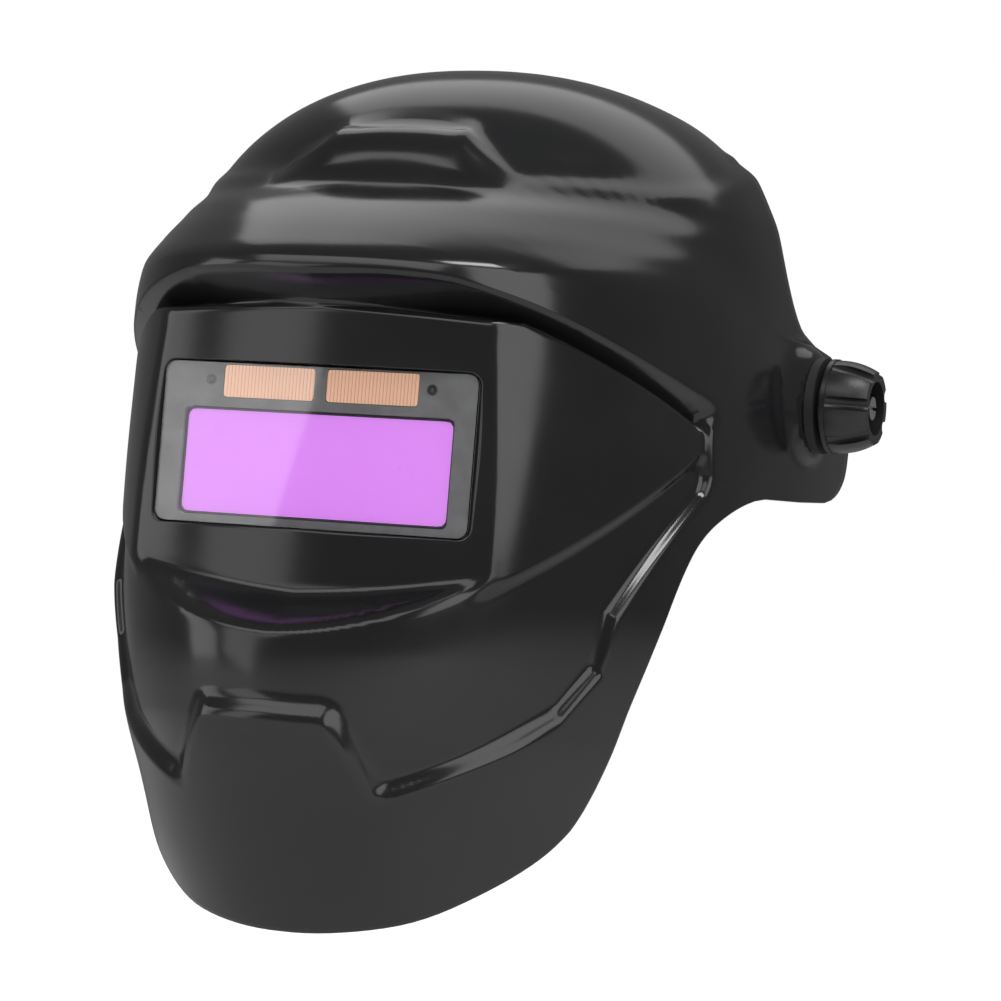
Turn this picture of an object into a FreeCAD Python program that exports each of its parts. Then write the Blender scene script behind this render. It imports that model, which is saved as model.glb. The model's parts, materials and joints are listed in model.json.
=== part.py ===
import FreeCAD, Part
import math
import os

# Welding helmet, in millimetres. Worn upright: the window faces -Y, +X is the wearer's
# left, +Z is up, and the origin is the middle of the axis on which the shell flips up.

# ---- shell outline, as (height, value) stations ----
SHELL_DEPTH = [
    (-200, 141), (-186, 150), (-142, 171), (-119, 181), (-95, 184), (-60, 182), (0, 175),
    (19, 173), (24, 172), (35, 159), (46, 140.5), (57, 119), (64, 116), (74, 114),
]
SHELL_HALF_WIDTH = [
    (-200, 78), (-180, 84), (-161, 92), (-145, 96), (-118, 103.5), (-75, 113), (-40, 114),
    (-10, 113), (20, 109.5), (40, 106), (57, 102), (66, 98), (74, 93.5), (81, 88),
]
SHELL_POWER = [(-200, 2.2), (-120, 2.2), (-60, 2.25), (0, 2.4), (20, 2.5), (40, 2.5), (57, 2.65)]
SECTION_CENTRE_Y = 30.0
WALL = 2.4                      # moulded wall
STEP = 4.0                      # the window mask lies this far below the outer layer
THROUGH = 30.0                  # tools this long cut right through any wall
JOIN_GAP = 0.05                 # clearance between parts that lie face to face
WALL_SLANTS = [(-20, 0.85), (8, 0.25)]     # by height: open at the cheeks, steep under the brim
DOME_CENTRE_Y = -5.0
DOME_CENTRE_Z = 20.0
DOME_HEIGHT = 88.7
DOME_HALF_WIDTH = 106.5
DOME_SECTION_POWER = 2.23
DOME_PLAN_POWER = 2.45
DOME_FRONT = 113.0
DOME_BACK = 150.0
# heights of the visor's top and bottom edges, by angle from straight ahead
CREST_HEIGHTS = [(15, 70.5), (25, 57), (40, 58.5), (55, 60.5), (75, 67), (97, 78)]
BRIM_HEIGHTS = [(0, 20), (27, 17), (58, -5), (62, -9)]

# ---- outline of the recessed window mask, from the brim round to the chin crest ----
MASK_OUTLINE = [
    (0, -172.5, 20), (44, -160, 18.5), (66, -146, 13.5), (101, -81, -6), (103, -73, -9), (104, -71, -32),
    (103.5, -73.5, -37.5), (89.5, -111, -80), (86, -112, -98), (77.5, -122.5, -114),
    (67, -136, -124), (34, -161, -142), (21, -178, -118), (0, -181, -118),
]
# ---- rim of the shell seen from the side, as (y, z): crown, ear, jaw, chin ----
RIM_OUTLINE = [
    (14, 108.5), (8, 106.5), (-1, 100.5), (-8, 88.5), (-12, 72), (-12, 58), (-13, 46), (-10, 35),
    (-4, 27), (3, 22.5), (14, 21), (33, 20), (44, 14), (50, 0), (48.5, -14), (44.5, -23),
    (34, -29.5), (20, -32.5), (-5, -33.5), (-33, -34.5), (-45, -36.5), (-59.5, -41.5),
    (-74, -50), (-82.5, -61.5), (-91, -82), (-95, -103), (-96, -120), (-98.5, -144),
    (-106, -154.5), (-116.5, -163.5), (-124, -169.5), (-136, -179), (-147.5, -184), (-151, -186),
]

# ---- window, measured from the window's centre ----
WINDOW_Z = -34.0
COVER_Y = -155.0                # front face of the clear cover
OPENING = (109.0, 52.0)         # rounded opening through the shell
OPENING_CORNER = 4.0
CORE = (46.0, 20.0)             # half sizes of the ellipse the shell's skins start from
BOX_FRONT_RADIUS = 231.0
BOX_FRONT_Y = -161.0
BOX_CORNER = (72.0, -149.4)
PANEL_NORMAL = (0.893, -0.450)

# ---- filter cartridge ----
FACE_SIZE = (108.0, 51.0)
FACE_CORNER = 3.5
GLASS_Y = COVER_Y + 1.2         # front face of the filter cartridge
CARTRIDGE_DEPTH = 9.0
CARTRIDGE_WALL = 1.6
PANE = (93.5, 34.5)
PANE_Z = -39.75
CELL = (31.5, 10.2)
CELL_X = 17.9
CELL_Z = -14.2
CELL_PROUD = 0.15
BOARD_FRONT = 1.7               # behind the cartridge's front face
BOARD = (100.0, 1.2, 10.4)      # width, thickness, height
BOARD_Z = CELL_Z - 1.4
BUTTON_CELL = (5.0, 1.6, 12.0)  # radius, thickness and distance from the middle
OPTIC = (97.0, 36.0)            # glass and liquid-crystal stack, both cut to this size
GLASS_THICK = 1.4
LCD_START = 3.2
LCD_THICK = 4.2
BACK_THICK = 1.5
DIAL_BORE = 2.1
DIAL_STEM = (2.04, 2.4, 1.9)    # radius, length and how much of it is inside the cartridge
DIAL = (4.6, 4.1, 4.0)          # radius at the base, at the end, and height
DIAL_RISE = 0.35
POINTER = (1.0, 1.2, 5.0)
SENSOR_X = 38.2
SENSOR_Z = -13.9
SENSOR_RADIUS = 1.8
DIAL_X = 30.0
HOLDER = (121.0, 68.0)
HOLDER_FRONT = -147.2
HOLDER_DEPTH = 9.0
HOLDER_SCREW = (57.0, 30.0)     # from the window's centre
SCREW_RADIUS = 1.5
SCREW_BOSS_RADIUS = 3.2
SCREW_BOSS_Y = -153.0
SCREW_BOSS_FLOOR = 1.2
SCREW_HEAD = (2.8, 1.8)         # radius and height
SCREW_SLOT = (6.0, 0.9, 0.7)
SCREW_BITE = 4.0                # length of shank beyond the tray
INNER_LENS = (98.0, 35.0)
INNER_LENS_Z = -39.2
INNER_LENS_GAP = 3.0            # from the tray's floor to the clear plate
SPRING = (3.0, 0.5, 36.0)       # width, thickness, height
SPRING_X = 52.4
SPRING_TAB = (3.0, 0.6)         # side and thickness of the bent tabs
SPRING_TAB_Z = 15.0
TRAY_GAP = 0.3
DIAL_SLOT = (74.0, 10.8)

# ---- headgear ----
BAND_HALF_WIDTH = 79.0
BAND_HALF_LENGTH = 99.0
BAND_THICK = 2.0
BAND_TALL = 26.0
BAND_CENTRE = (0.0, 5.0, 20.0)
BAND_GAP = 84.0                 # between the band's rear tails
BAND_TILT = 15.0
PAD_THICK = 5.0
PAD_WIDE = 124.0
SOFT_GAP = 0.3                  # soft parts stay this far from hard ones
STRAP_WIDE = 22.0
STRAP_THICK = 1.6
CROWN_TOP = 97.0                # inside of the straps over the head
STRAP_FOOT = 18.0
STRAP_Y = 2.0
CROWN_PIN_X = 12.0
CROWN_PIN_RADIUS = 1.95
CROWN_PIN_HEAD = (3.4, 1.2)     # radius and height

# ---- pivots, along +X ----
ARM_INNER = 81.4
ARM_THICK = 2.5
ARM_WIDE = 34.0
ARM_TALL = 44.0
ARM_CENTRE = (2.0, 10.0)        # y and z
ARM_CORNER = 8.0
SPACER_RADIUS = 12.0
SPACER_END = 107.4
BOSS_INNER = 107.7
BOSS_OUTER = 115.5
BOSS_RADIUS = 18.0
BORE_RADIUS = 5.5
RUNNING_GAP = 0.06
BOLT_RADIUS = 4.0
BOLT_HEAD = (6.5, 2.0)          # radius and height
BOLT_SLOT = (2.4, 9.0, 1.2)
BOLT_SHORT = 1.2                # how far the bolt ends inside the knob's mouth
WASHER_OUTER = 118.5
WASHER_RADIUS = 16.4
KNOB_INNER = 118.8
KNOB_END = 136.2
KNOB_HUB = 11.5                 # radius of the neck behind the knob's flange
KNOB_FLANGE = (120.8, 122.3, 16.2)
KNOB_BODY = [(122.3, 15.8), (130.0, 15.0), (136.2, 12.4)]
KNOB_RECESS = (127.5, 9.2)
KNOB_LOBES = 7
FLUTE_RADIUS = 2.2
FLUTE_START = 0.9               # depth of the flutes at the flange
FLUTE_DEPTH = 2.3               # and at the nose

# ---- flip stops ----
STOP_INNER = 100.0
STOP_THICK = 2.0
STOP_RIM = (26.0, 16.0)         # radius of the lugged half and of the plain half
LUG_LENGTH = 3.5
STOP_RADIUS = 22.0
PIN_RADIUS = 2.2
PIN_END = 111.5
FLIP_DEGREES = 72.0
LUG_CLEARANCE = math.radians(12.6)
PIN_ANGLE = math.radians(36.0)
STOP_ANGLES = (PIN_ANGLE + LUG_CLEARANCE, PIN_ANGLE - math.radians(FLIP_DEGREES) - LUG_CLEARANCE)

RIVET_Y = (-8.0, 12.0)
RIVET_Z = 24.0
RIVET_RADIUS = 2.0
RIVET_START = 73.6
RIVET_HEAD = (3.6, 1.0)         # radius and height

RATCHET_Y = 103.0
RATCHET_Z = -8.0
RATCHET_SIZE = (74.0, 36.0)
PITCH_RADIUS = 6.0
PINION_TEETH = 10
TOOTH_WIDE = 1.2
RACK_LENGTH = 40.0
SHAFT_RADIUS = 2.2
RACK_START = -12.0              # each rack reaches this far past the pinion
RACK_THICK = 1.6
RACK_TALL = 4.6
ROOT_DEPTH = 1.3                # rack tooth root, below the pitch line
PINION_THICK = 2.4
TRAY_Y = (-5.2, 1.4)            # front and back of the ratchet housing, from the racks
COVER_THICK = 3.2
CASE_SCREW = (32.0, 15.6)       # from the ratchet's centre
CASE_SCREW_RADIUS = 1.0
CASE_SCREW_Y = -2.5
CASE_SCREW_HEAD = (1.4, 0.8)
RATCHET_KNOB = (17.0, 13.0, 5.0)    # radius, length and distance behind the racks
KNOB_RIBS = 16
RIB_RADIUS = 1.6
REAR_PAD = (84.0, 42.0, -13.6, 8.0)     # width, height, front face and thickness

V = FreeCAD.Vector
X_AXIS = V(1, 0, 0)
Y_AXIS = V(0, 1, 0)
Z_AXIS = V(0, 0, 1)
RAY_CENTRE = V(0, -20, -40)     # every wall point of the shell is seen from here
TINY = 1e-6


def save(name, shape):
    """Writes one sub-part, as a single clean shape, to parts/NAME.step."""
    shape.exportStep("parts/" + name + ".step")
    print(name, "valid" if shape.isValid() else "NOT VALID", round(shape.Volume), "mm3")


# ---------------------------------------------------------------- shell surface
def tangents(stations):
    """Slope at each station that keeps the curve through them free of overshoot."""
    spans = [(b[0] - a[0], (b[1] - a[1]) / (b[0] - a[0])) for a, b in zip(stations, stations[1:])]
    slopes = [spans[0][1]]
    for (before, left), (after, right) in zip(spans, spans[1:]):
        if left * right <= 0:
            slopes.append(0.0)
        else:
            first, second = 2 * after + before, after + 2 * before
            slopes.append((first + second) / (first / left + second / right))
    slopes.append(spans[-1][1])
    return slopes


STATION_SLOPES = {id(table): tangents(table) for table in (SHELL_DEPTH, SHELL_HALF_WIDTH, SHELL_POWER)}


def along(stations, height):
    """Smooth value at a height, held at the first and last station beyond them."""
    if height <= stations[0][0]:
        return stations[0][1]
    slopes = STATION_SLOPES[id(stations)]
    for i, (low, high) in enumerate(zip(stations, stations[1:])):
        if height <= high[0]:
            span = high[0] - low[0]
            t = (height - low[0]) / span
            rise = t * t * (3 - 2 * t)
            start = t * (1 - t) * (1 - t) * span * slopes[i]
            end = t * t * (t - 1) * span * slopes[i + 1]
            return low[1] + (high[1] - low[1]) * rise + start + end
    return stations[-1][1]


def soft_max(a, b, blend):
    """The larger of two distances, with the corner between them rounded."""
    near = max(blend - abs(a - b), 0.0)
    return max(a, b) + near * near / (4 * blend)


def soft_min(a, b, blend):
    return -soft_max(-a, -b, blend)


def rounded_section(x, y, half_width, depth, power):
    """Distance outside a superellipse in plan whose back half is straight walled."""
    ax = max(abs(x) / half_width, TINY)
    ay = max(-y, 0.0) / depth
    size = (ax ** power + ay ** power) ** (1 / power)
    gx = (ax / size) ** (power - 1) / half_width
    gy = (ay / size) ** (power - 1) / depth
    return (size - 1) / math.sqrt(gx * gx + gy * gy)


def face_distance(x, y, z):
    """Distance outside the visor, cheeks and chin, as one body with no steps."""
    depth = along(SHELL_DEPTH, z)
    flat = rounded_section(x, y - SECTION_CENTRE_Y, along(SHELL_HALF_WIDTH, z),
                           depth + SECTION_CENTRE_Y, along(SHELL_POWER, z))
    slope = (along(SHELL_DEPTH, z + 1) - along(SHELL_DEPTH, z - 1)) / 2
    front = max(-y, 0.0) / max(math.hypot(1.5 * x, y), 1.0)
    return flat / math.sqrt(1 + (slope * front * front) ** 2)


def dome_distance(x, y, z):
    """Distance outside the crown of the shell."""
    back = y - DOME_CENTRE_Y
    reach = DOME_BACK if back > 0 else DOME_FRONT
    ax = max(abs(x) / DOME_HALF_WIDTH, TINY)
    az = max(z - DOME_CENTRE_Z, 0.0) / DOME_HEIGHT
    bend = DOME_SECTION_POWER
    across = (ax ** bend + az ** bend) ** (1 / bend)
    power = DOME_PLAN_POWER
    ay = abs(back) / reach
    size = (across ** power + ay ** power) ** (1 / power)
    lean = (across / size) ** (power - 1)
    gx = lean * (ax / across) ** (bend - 1) / DOME_HALF_WIDTH
    gz = lean * (az / across) ** (bend - 1) / DOME_HEIGHT
    gy = (ay / size) ** (power - 1) / reach
    return (size - 1) / math.sqrt(gx * gx + gy * gy + gz * gz)


def view_angles(x, y, z):
    """Direction from the ray centre, as degrees sideways and up from straight ahead, and range."""
    dx, dy, dz = abs(x) - RAY_CENTRE.x, y - RAY_CENTRE.y, z - RAY_CENTRE.z
    reach = math.sqrt(dx * dx + dy * dy + dz * dz)
    off_axis = math.degrees(math.acos(max(-1.0, min(1.0, -dy / reach))))
    turn = math.atan2(dz, dx)
    return off_axis * math.cos(turn), off_axis * math.sin(turn), reach


def direction(side, up):
    """Unit vector for a pair of view angles in degrees."""
    off_axis, turn = math.radians(math.hypot(side, up)), math.atan2(up, side)
    ring = math.sin(off_axis)
    return V(ring * math.cos(turn), -math.cos(off_axis), ring * math.sin(turn))


MASK = [view_angles(*point)[:2] for point in MASK_OUTLINE]
FAR_SIDE = -30.0
MASK_LOOP = [(FAR_SIDE, MASK[0][1])] + MASK + [(FAR_SIDE, MASK[-1][1])]


def outside_loop(a, b, loop):
    """Signed distance from a point to a closed outline, negative inside it."""
    nearest, inside = 1e9, False
    for (x0, y0), (x1, y1) in zip(loop, loop[1:] + loop[:1]):
        ex, ey, wx, wy = x1 - x0, y1 - y0, a - x0, b - y0
        t = max(0.0, min(1.0, (wx * ex + wy * ey) / (ex * ex + ey * ey)))
        nearest = min(nearest, (wx - ex * t) ** 2 + (wy - ey * t) ** 2)
        if (y0 <= b) != (y1 <= b) and a < (x1 - x0) * (b - y0) / (y1 - y0) + x0:
            inside = not inside
    return -math.sqrt(nearest) if inside else math.sqrt(nearest)


def ramp(value, stations):
    """Straight-line interpolation through (position, value) stations."""
    if value <= stations[0][0]:
        return stations[0][1]
    for (a, low), (b, high) in zip(stations, stations[1:]):
        if value <= b:
            return low + (high - low) * (value - a) / (b - a)
    return stations[-1][1]


def shell_distance(x, y, z):
    """Distance outside the finished shell: outer layer, recessed mask, window box and shelf."""
    x = abs(x)
    side, up, reach = view_angles(x, y, z)
    azimuth = math.degrees(math.atan2(x, -(y - RAY_CENTRE.y)))
    face = face_distance(x, y, z)
    ledge = (z - ramp(azimuth, CREST_HEIGHTS) + 0.9 * max(face, -6.0)) / math.sqrt(1.81)
    outer = soft_min(soft_max(face, ledge, 3.0), dome_distance(x, y, z), 4.0)
    outside_mask = outside_loop(side, up, MASK_LOOP) * math.radians(reach)
    slant = ramp(z, WALL_SLANTS)
    wall = (slant * outer - outside_mask) / math.hypot(1, slant)
    layer = soft_max(outer, wall, 2.5)
    front = math.hypot(x, y - BOX_FRONT_Y - BOX_FRONT_RADIUS) - BOX_FRONT_RADIUS
    panel = PANEL_NORMAL[0] * (x - BOX_CORNER[0]) + PANEL_NORMAL[1] * (y - BOX_CORNER[1])
    box = soft_max(soft_max(front, panel, 5.0), z - ramp(azimuth, BRIM_HEIGHTS) + 8.5, 4.0)
    shelf = (z + 91 - 0.62 * (y + 176)) / 1.177 - 1 - 0.047 * x
    box = soft_max(box, -3 - shelf, 4.0)
    cheek = soft_max(face + STEP, shelf, 3.0)
    body = soft_max(soft_min(box, cheek, 4.0), face + 0.6 * STEP, 3.0)
    return soft_min(layer, body, 2.5)


def wall_point(ray, level):
    """Where a ray from the ray centre crosses the surface that lies level outside the shell's skin."""
    near, far = 60.0, 240.0
    for _ in range(20):
        middle = (near + far) / 2
        point = RAY_CENTRE + ray * middle
        if shell_distance(point.x, point.y, point.z) < level:
            near = middle
        else:
            far = middle
    return RAY_CENTRE + ray * near


def outline_reach(turn, outline):
    """Degrees from straight ahead to an outline, in the direction turn (radians)."""
    ux, uy = math.cos(turn), math.sin(turn)
    best = 0.0
    for (x0, y0), (x1, y1) in zip(outline, outline[1:]):
        ex, ey = x1 - x0, y1 - y0
        cross = ux * ey - uy * ex
        if abs(cross) > 1e-9:
            reach = (x0 * ey - y0 * ex) / cross
            share = (x0 * uy - y0 * ux) / cross
            if -1e-6 <= share <= 1 + 1e-6 and reach > best:
                best = reach
    return best


def rim_side_x(y, z):
    """Half width of the outer layer at a point of the side view."""
    low, high = 0.0, 140.0
    for _ in range(30):
        middle = (low + high) / 2
        if soft_min(soft_max(face_distance(middle, y, z), z - CREST_HEIGHTS[-1][1], 2.0),
                    dome_distance(middle, y, z), 2.0) < 0:
            low = middle
        else:
            high = middle
    return low


def rim_in_view():
    """Rim outline as view angles, closed on the middle plane at crown and chin."""
    points = []
    for y, z in RIM_OUTLINE[1:-1]:
        points.append(view_angles(rim_side_x(y, z), y, z)[:2])
    crown, chin = RIM_OUTLINE[0], RIM_OUTLINE[-1]
    top = view_angles(0.0, crown[0], crown[1])
    bottom = view_angles(0.0, chin[0], chin[1])
    return [(-8.0, top[1])] + [(0.0, top[1])] + points + [(0.0, bottom[1])] + [(-8.0, bottom[1])]


def core_reach(turn):
    """Degrees from straight ahead to the ellipse on the window where the skins start."""
    ahead = COVER_Y - RAY_CENTRE.y
    shift = WINDOW_Z - RAY_CENTRE.z
    ux, uz = math.cos(turn) / CORE[0], math.sin(turn) / CORE[1]
    middle = shift / CORE[1]
    square = ux * ux + uz * uz
    reach = (uz * middle + math.sqrt(uz * uz * middle * middle - square * (middle * middle - 1))) / square
    return math.degrees(math.atan2(reach, abs(ahead)))


def eased_reach(turn, outline):
    """Outline reach averaged over neighbouring directions, so that rows of points stay smooth."""
    turns = [turn + math.radians(EASE_DEGREES * k) for k in (-2, -1, 0, 1, 2)]
    level = [max(-math.pi / 2, min(math.pi / 2, t)) for t in turns]
    return sum(outline_reach(t, outline) for t in level) / len(level)


EASE_DEGREES = 3.0
MASK_ROWS = 12
WALL_ROWS = 5
LAYER_ROWS = 13
COLUMNS = 73
WALL_DEGREES = 4.0


def shell_half_grid(level, rim):
    """Rows of points from the window opening to the rim, for the wearer's left half."""
    grid = []
    for column in range(COLUMNS):
        turn = math.radians(-90 + 180 * column / (COLUMNS - 1))
        start, end = core_reach(turn), outline_reach(turn, rim)
        mask = min(eased_reach(turn, MASK_LOOP), end - WALL_DEGREES)
        inner_edge = mask - WALL_DEGREES
        steps = [start + (inner_edge - start) * i / MASK_ROWS for i in range(MASK_ROWS)]
        steps += [inner_edge + WALL_DEGREES * i / WALL_ROWS for i in range(WALL_ROWS)]
        steps += [mask + (end - mask) * i / LAYER_ROWS for i in range(LAYER_ROWS + 1)]
        row = []
        for reach in steps:
            ray = direction(reach * math.cos(turn), reach * math.sin(turn))
            if column in (0, COLUMNS - 1):
                ray.x = 0.0
            row.append(wall_point(ray, level))
        grid.append(row)
    return grid


def clamped(count, degree):
    """Knots and multiplicities of a uniform curve that ends on its first and last pole."""
    spans = count - degree
    return list(range(spans + 1)), [degree + 1] + [1] * (spans - 1) + [degree + 1]


def skin(grid):
    """Smooth surface drawn over a grid of points, without ripples beside the steps."""
    u_knots, u_mults = clamped(len(grid), 3)
    v_knots, v_mults = clamped(len(grid[0]), 3)
    surface = Part.BSplineSurface()
    surface.buildFromPolesMultsKnots(grid, u_mults, v_mults, u_knots, v_knots, False, False, 3, 3)
    return surface


def edge_curve(surface, first):
    """Edge of a skin at the window core or at the rim."""
    low_v, high_v = surface.bounds()[2:]
    return surface.vIso(low_v if first else high_v).toShape()


def helmet_shell():
    """Moulded shell: two mirrored halves of outer and inner skin joined at the opening and rim."""
    rim = rim_in_view()
    outer, inner = skin(shell_half_grid(0.0, rim)), skin(shell_half_grid(-WALL, rim))
    half = [outer.toShape(), inner.toShape()]
    for first in (True, False):
        half.append(Part.makeRuledSurface(edge_curve(outer, first), edge_curve(inner, first)))
    faces = half + [face.mirror(V(0, 0, 0), X_AXIS) for face in half]
    shell = Part.makeShell(faces)
    shell.sewShape()
    solid = Part.makeSolid(shell)
    if solid.Volume < 0:
        solid.reverse()
    solid = solid.cut(plate(OPENING[0], OPENING[1], COVER_Y - THROUGH, 2 * THROUGH, WINDOW_Z, OPENING_CORNER))
    for side in (1, -1):
        boss = tube_x(side, BOSS_INNER, BOSS_OUTER, BOSS_RADIUS, BORE_RADIUS)
        solid = solid.cut(tube_x(side, BOSS_INNER - THROUGH, BOSS_OUTER + THROUGH, BORE_RADIUS)).fuse(boss)
    for x, z in screw_places():
        foot = V(x, SCREW_BOSS_Y, z)
        boss = Part.makeCylinder(SCREW_BOSS_RADIUS, HOLDER_FRONT - SCREW_BOSS_Y, foot, Y_AXIS)
        hole = Part.makeCylinder(SCREW_RADIUS, THROUGH, foot + Y_AXIS * SCREW_BOSS_FLOOR, Y_AXIS)
        solid = solid.fuse(boss).cut(hole)
    return solid


def screw_places():
    """Centres of the four holder screws."""
    across, up = HOLDER_SCREW
    return [(x, WINDOW_Z + z) for x in (-across, across) for z in (-up, up)]


# ---------------------------------------------------------------- helpers
def tube_x(side, start, end, radius, bore=0.0, y=0.0, z=0.0):
    """Disc or tube along X on one side of the head: side is 1 or -1."""
    base = V(side * start, y, z)
    body = Part.makeCylinder(radius, end - start, base, X_AXIS * side)
    if bore:
        body = body.cut(Part.makeCylinder(bore, end - start + 2, base - X_AXIS * side, X_AXIS * side))
    return body


def block(size_x, size_y, size_z, centre):
    """Plain box centred on a point."""
    corner = V(centre[0] - size_x / 2, centre[1] - size_y / 2, centre[2] - size_z / 2)
    return Part.makeBox(size_x, size_y, size_z, corner)


def plate(width, height, front_y, thick, centre_z, corner, centre_x=0.0):
    """Upright rounded plate facing -Y, from front_y back by thick."""
    body = block(width, thick, height, (centre_x, front_y + thick / 2, centre_z))
    upright = [e for e in body.Edges if abs(e.Vertexes[0].Y - e.Vertexes[1].Y) > thick / 2]
    return body.makeFillet(corner, upright)


def tilted(shape):
    """Places a shape built round the level band centre at the headband's tilt."""
    shape.rotate(V(0, 0, 0), X_AXIS, -BAND_TILT)
    shape.translate(V(*BAND_CENTRE))
    return shape


def band_ring(inner_x, inner_y, thick, low, high):
    """Upright elliptical ring between two heights, in the band's own level frame."""
    def disc(grow):
        major, minor = inner_y + grow, inner_x + grow
        curve = Part.Ellipse(V(0, major, low), V(minor, 0, low), V(0, 0, low))
        return Part.Face(Part.Wire(curve.toShape())).extrude(V(0, 0, high - low))
    return disc(thick).cut(disc(0.0))


def arch(half_width, rise, base_z, wide, thick, centre_y):
    """Half-elliptical strap over the head from side to side."""
    def half_disc(grow):
        major, minor = rise + grow, half_width + grow
        if major >= minor:
            curve = Part.Ellipse(V(0, 0, major), V(minor, 0, 0), V(0, 0, 0))
        else:
            curve = Part.Ellipse(V(minor, 0, 0), V(0, 0, major), V(0, 0, 0))
        return Part.Face(Part.Wire(curve.toShape())).extrude(V(0, wide, 0))
    ring = half_disc(thick).cut(half_disc(0.0))
    keep = block(400, 400, 400, (0, 0, 200))
    ring = ring.common(keep)
    ring.translate(V(0, centre_y - wide / 2, base_z))
    return ring


# ---------------------------------------------------------------- filter cartridge
def cartridge_layers():
    """Pieces of the auto-darkening filter, from the window side to the face side."""
    wide, tall = FACE_SIZE
    hollow = plate(wide - 2 * CARTRIDGE_WALL, tall - 2 * CARTRIDGE_WALL,
                   GLASS_Y + CARTRIDGE_WALL, CARTRIDGE_DEPTH, WINDOW_Z, 2.0)
    housing = plate(wide, tall, GLASS_Y, CARTRIDGE_DEPTH - BACK_THICK, WINDOW_Z, FACE_CORNER)
    housing = housing.cut(hollow).cut(plate(PANE[0], PANE[1], GLASS_Y - 1, 6, PANE_Z, 2.0))
    pieces = {}
    for side, label in ((-1, "right"), (1, "left")):
        housing = housing.cut(plate(CELL[0] + 0.4, CELL[1] + 0.4, GLASS_Y - 1, 3.5, CELL_Z, 1.2,
                                    side * CELL_X))
        pieces["solar_cell_" + label] = plate(CELL[0], CELL[1], GLASS_Y + CELL_PROUD,
                                              BOARD_FRONT - CELL_PROUD, CELL_Z, 1.2, side * CELL_X)
        sensor_at = V(side * SENSOR_X, GLASS_Y, SENSOR_Z)
        housing = housing.cut(Part.makeCylinder(SENSOR_RADIUS + 0.1, 4, sensor_at, Y_AXIS))
        pieces["arc_sensor_" + label] = Part.makeCylinder(SENSOR_RADIUS, BOARD_FRONT, sensor_at, Y_AXIS)
    pieces["filter_housing"] = housing
    pieces["filter_back_cover"] = filter_back_cover()
    glass_start = GLASS_Y + CARTRIDGE_WALL + 2 * JOIN_GAP
    pieces["uv_ir_glass"] = plate(OPTIC[0], OPTIC[1], glass_start, GLASS_THICK, PANE_Z, 1.0)
    pieces["lcd_panel"] = plate(OPTIC[0], OPTIC[1], GLASS_Y + LCD_START, LCD_THICK, PANE_Z, 1.0)
    pieces["circuit_board"] = plate(BOARD[0], BOARD[2], GLASS_Y + BOARD_FRONT, BOARD[1], BOARD_Z, 0.8)
    radius, thick, away = BUTTON_CELL
    pieces["button_cells"] = Part.makeCompound([
        Part.makeCylinder(radius, thick, V(x, GLASS_Y + BOARD_FRONT + BOARD[1], BOARD_Z), Y_AXIS)
        for x in (-away, away)
    ])
    return pieces


def filter_back_cover():
    """Rear wall of the cartridge, with its window and the two dial bores."""
    back_y = GLASS_Y + CARTRIDGE_DEPTH
    back = plate(FACE_SIZE[0], FACE_SIZE[1], back_y - BACK_THICK, BACK_THICK, WINDOW_Z, FACE_CORNER)
    back = back.cut(plate(PANE[0] - 2, PANE[1] - 2, back_y - 2 * BACK_THICK, 4 * BACK_THICK, PANE_Z, 2.0))
    for x in (-DIAL_X, DIAL_X):
        start = V(x, back_y - 2 * BACK_THICK, CELL_Z)
        back = back.cut(Part.makeCylinder(DIAL_BORE, 4 * BACK_THICK, start, Y_AXIS))
    return back


def filter_holder():
    """Tray behind the window that carries the cartridge and the inner cover."""
    wide, tall = FACE_SIZE
    rear = GLASS_Y + CARTRIDGE_DEPTH + TRAY_GAP
    tray = plate(HOLDER[0], HOLDER[1], HOLDER_FRONT, HOLDER_DEPTH, WINDOW_Z, 5.0)
    tray = tray.cut(plate(wide + 0.8, tall + 0.8, HOLDER_FRONT - 1, rear - HOLDER_FRONT + 1, WINDOW_Z, 3.5))
    lens_wide, lens_tall = INNER_LENS
    tray = tray.cut(plate(lens_wide - 3, lens_tall - 3, rear - 1, THROUGH, INNER_LENS_Z, 2.0))
    tray = tray.cut(plate(lens_wide + 0.5, lens_tall + 0.5, rear + INNER_LENS_GAP, THROUGH,
                          INNER_LENS_Z, 2.5))
    tray = tray.cut(plate(DIAL_SLOT[0], DIAL_SLOT[1], rear - 1, THROUGH, CELL_Z, 3.0))
    for side in (-1, 1):
        tray = tray.cut(plate(SPRING[0] + 0.6, SPRING[2] + 1, rear - 0.5, 1.1, INNER_LENS_Z, 1.0,
                              side * SPRING_X))
    for x, z in screw_places():
        tray = tray.cut(Part.makeCylinder(SCREW_RADIUS, THROUGH, V(x, HOLDER_FRONT - 5, z), Y_AXIS))
    return tray


def holder_screws():
    """Four slotted screws that hold the tray to the shell's bosses."""
    screws = []
    tray_back = HOLDER_FRONT + HOLDER_DEPTH
    for x, z in screw_places():
        head = Part.makeCylinder(SCREW_HEAD[0], SCREW_HEAD[1], V(x, tray_back, z), Y_AXIS)
        shank = Part.makeCylinder(SCREW_RADIUS, HOLDER_DEPTH + SCREW_BITE, V(x, tray_back, z), -Y_AXIS)
        slot = block(*SCREW_SLOT, (x, tray_back + SCREW_HEAD[1] - SCREW_SLOT[1] / 3, z))
        screws.append(head.fuse(shank).cut(slot))
    return Part.makeCompound(screws)


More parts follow.
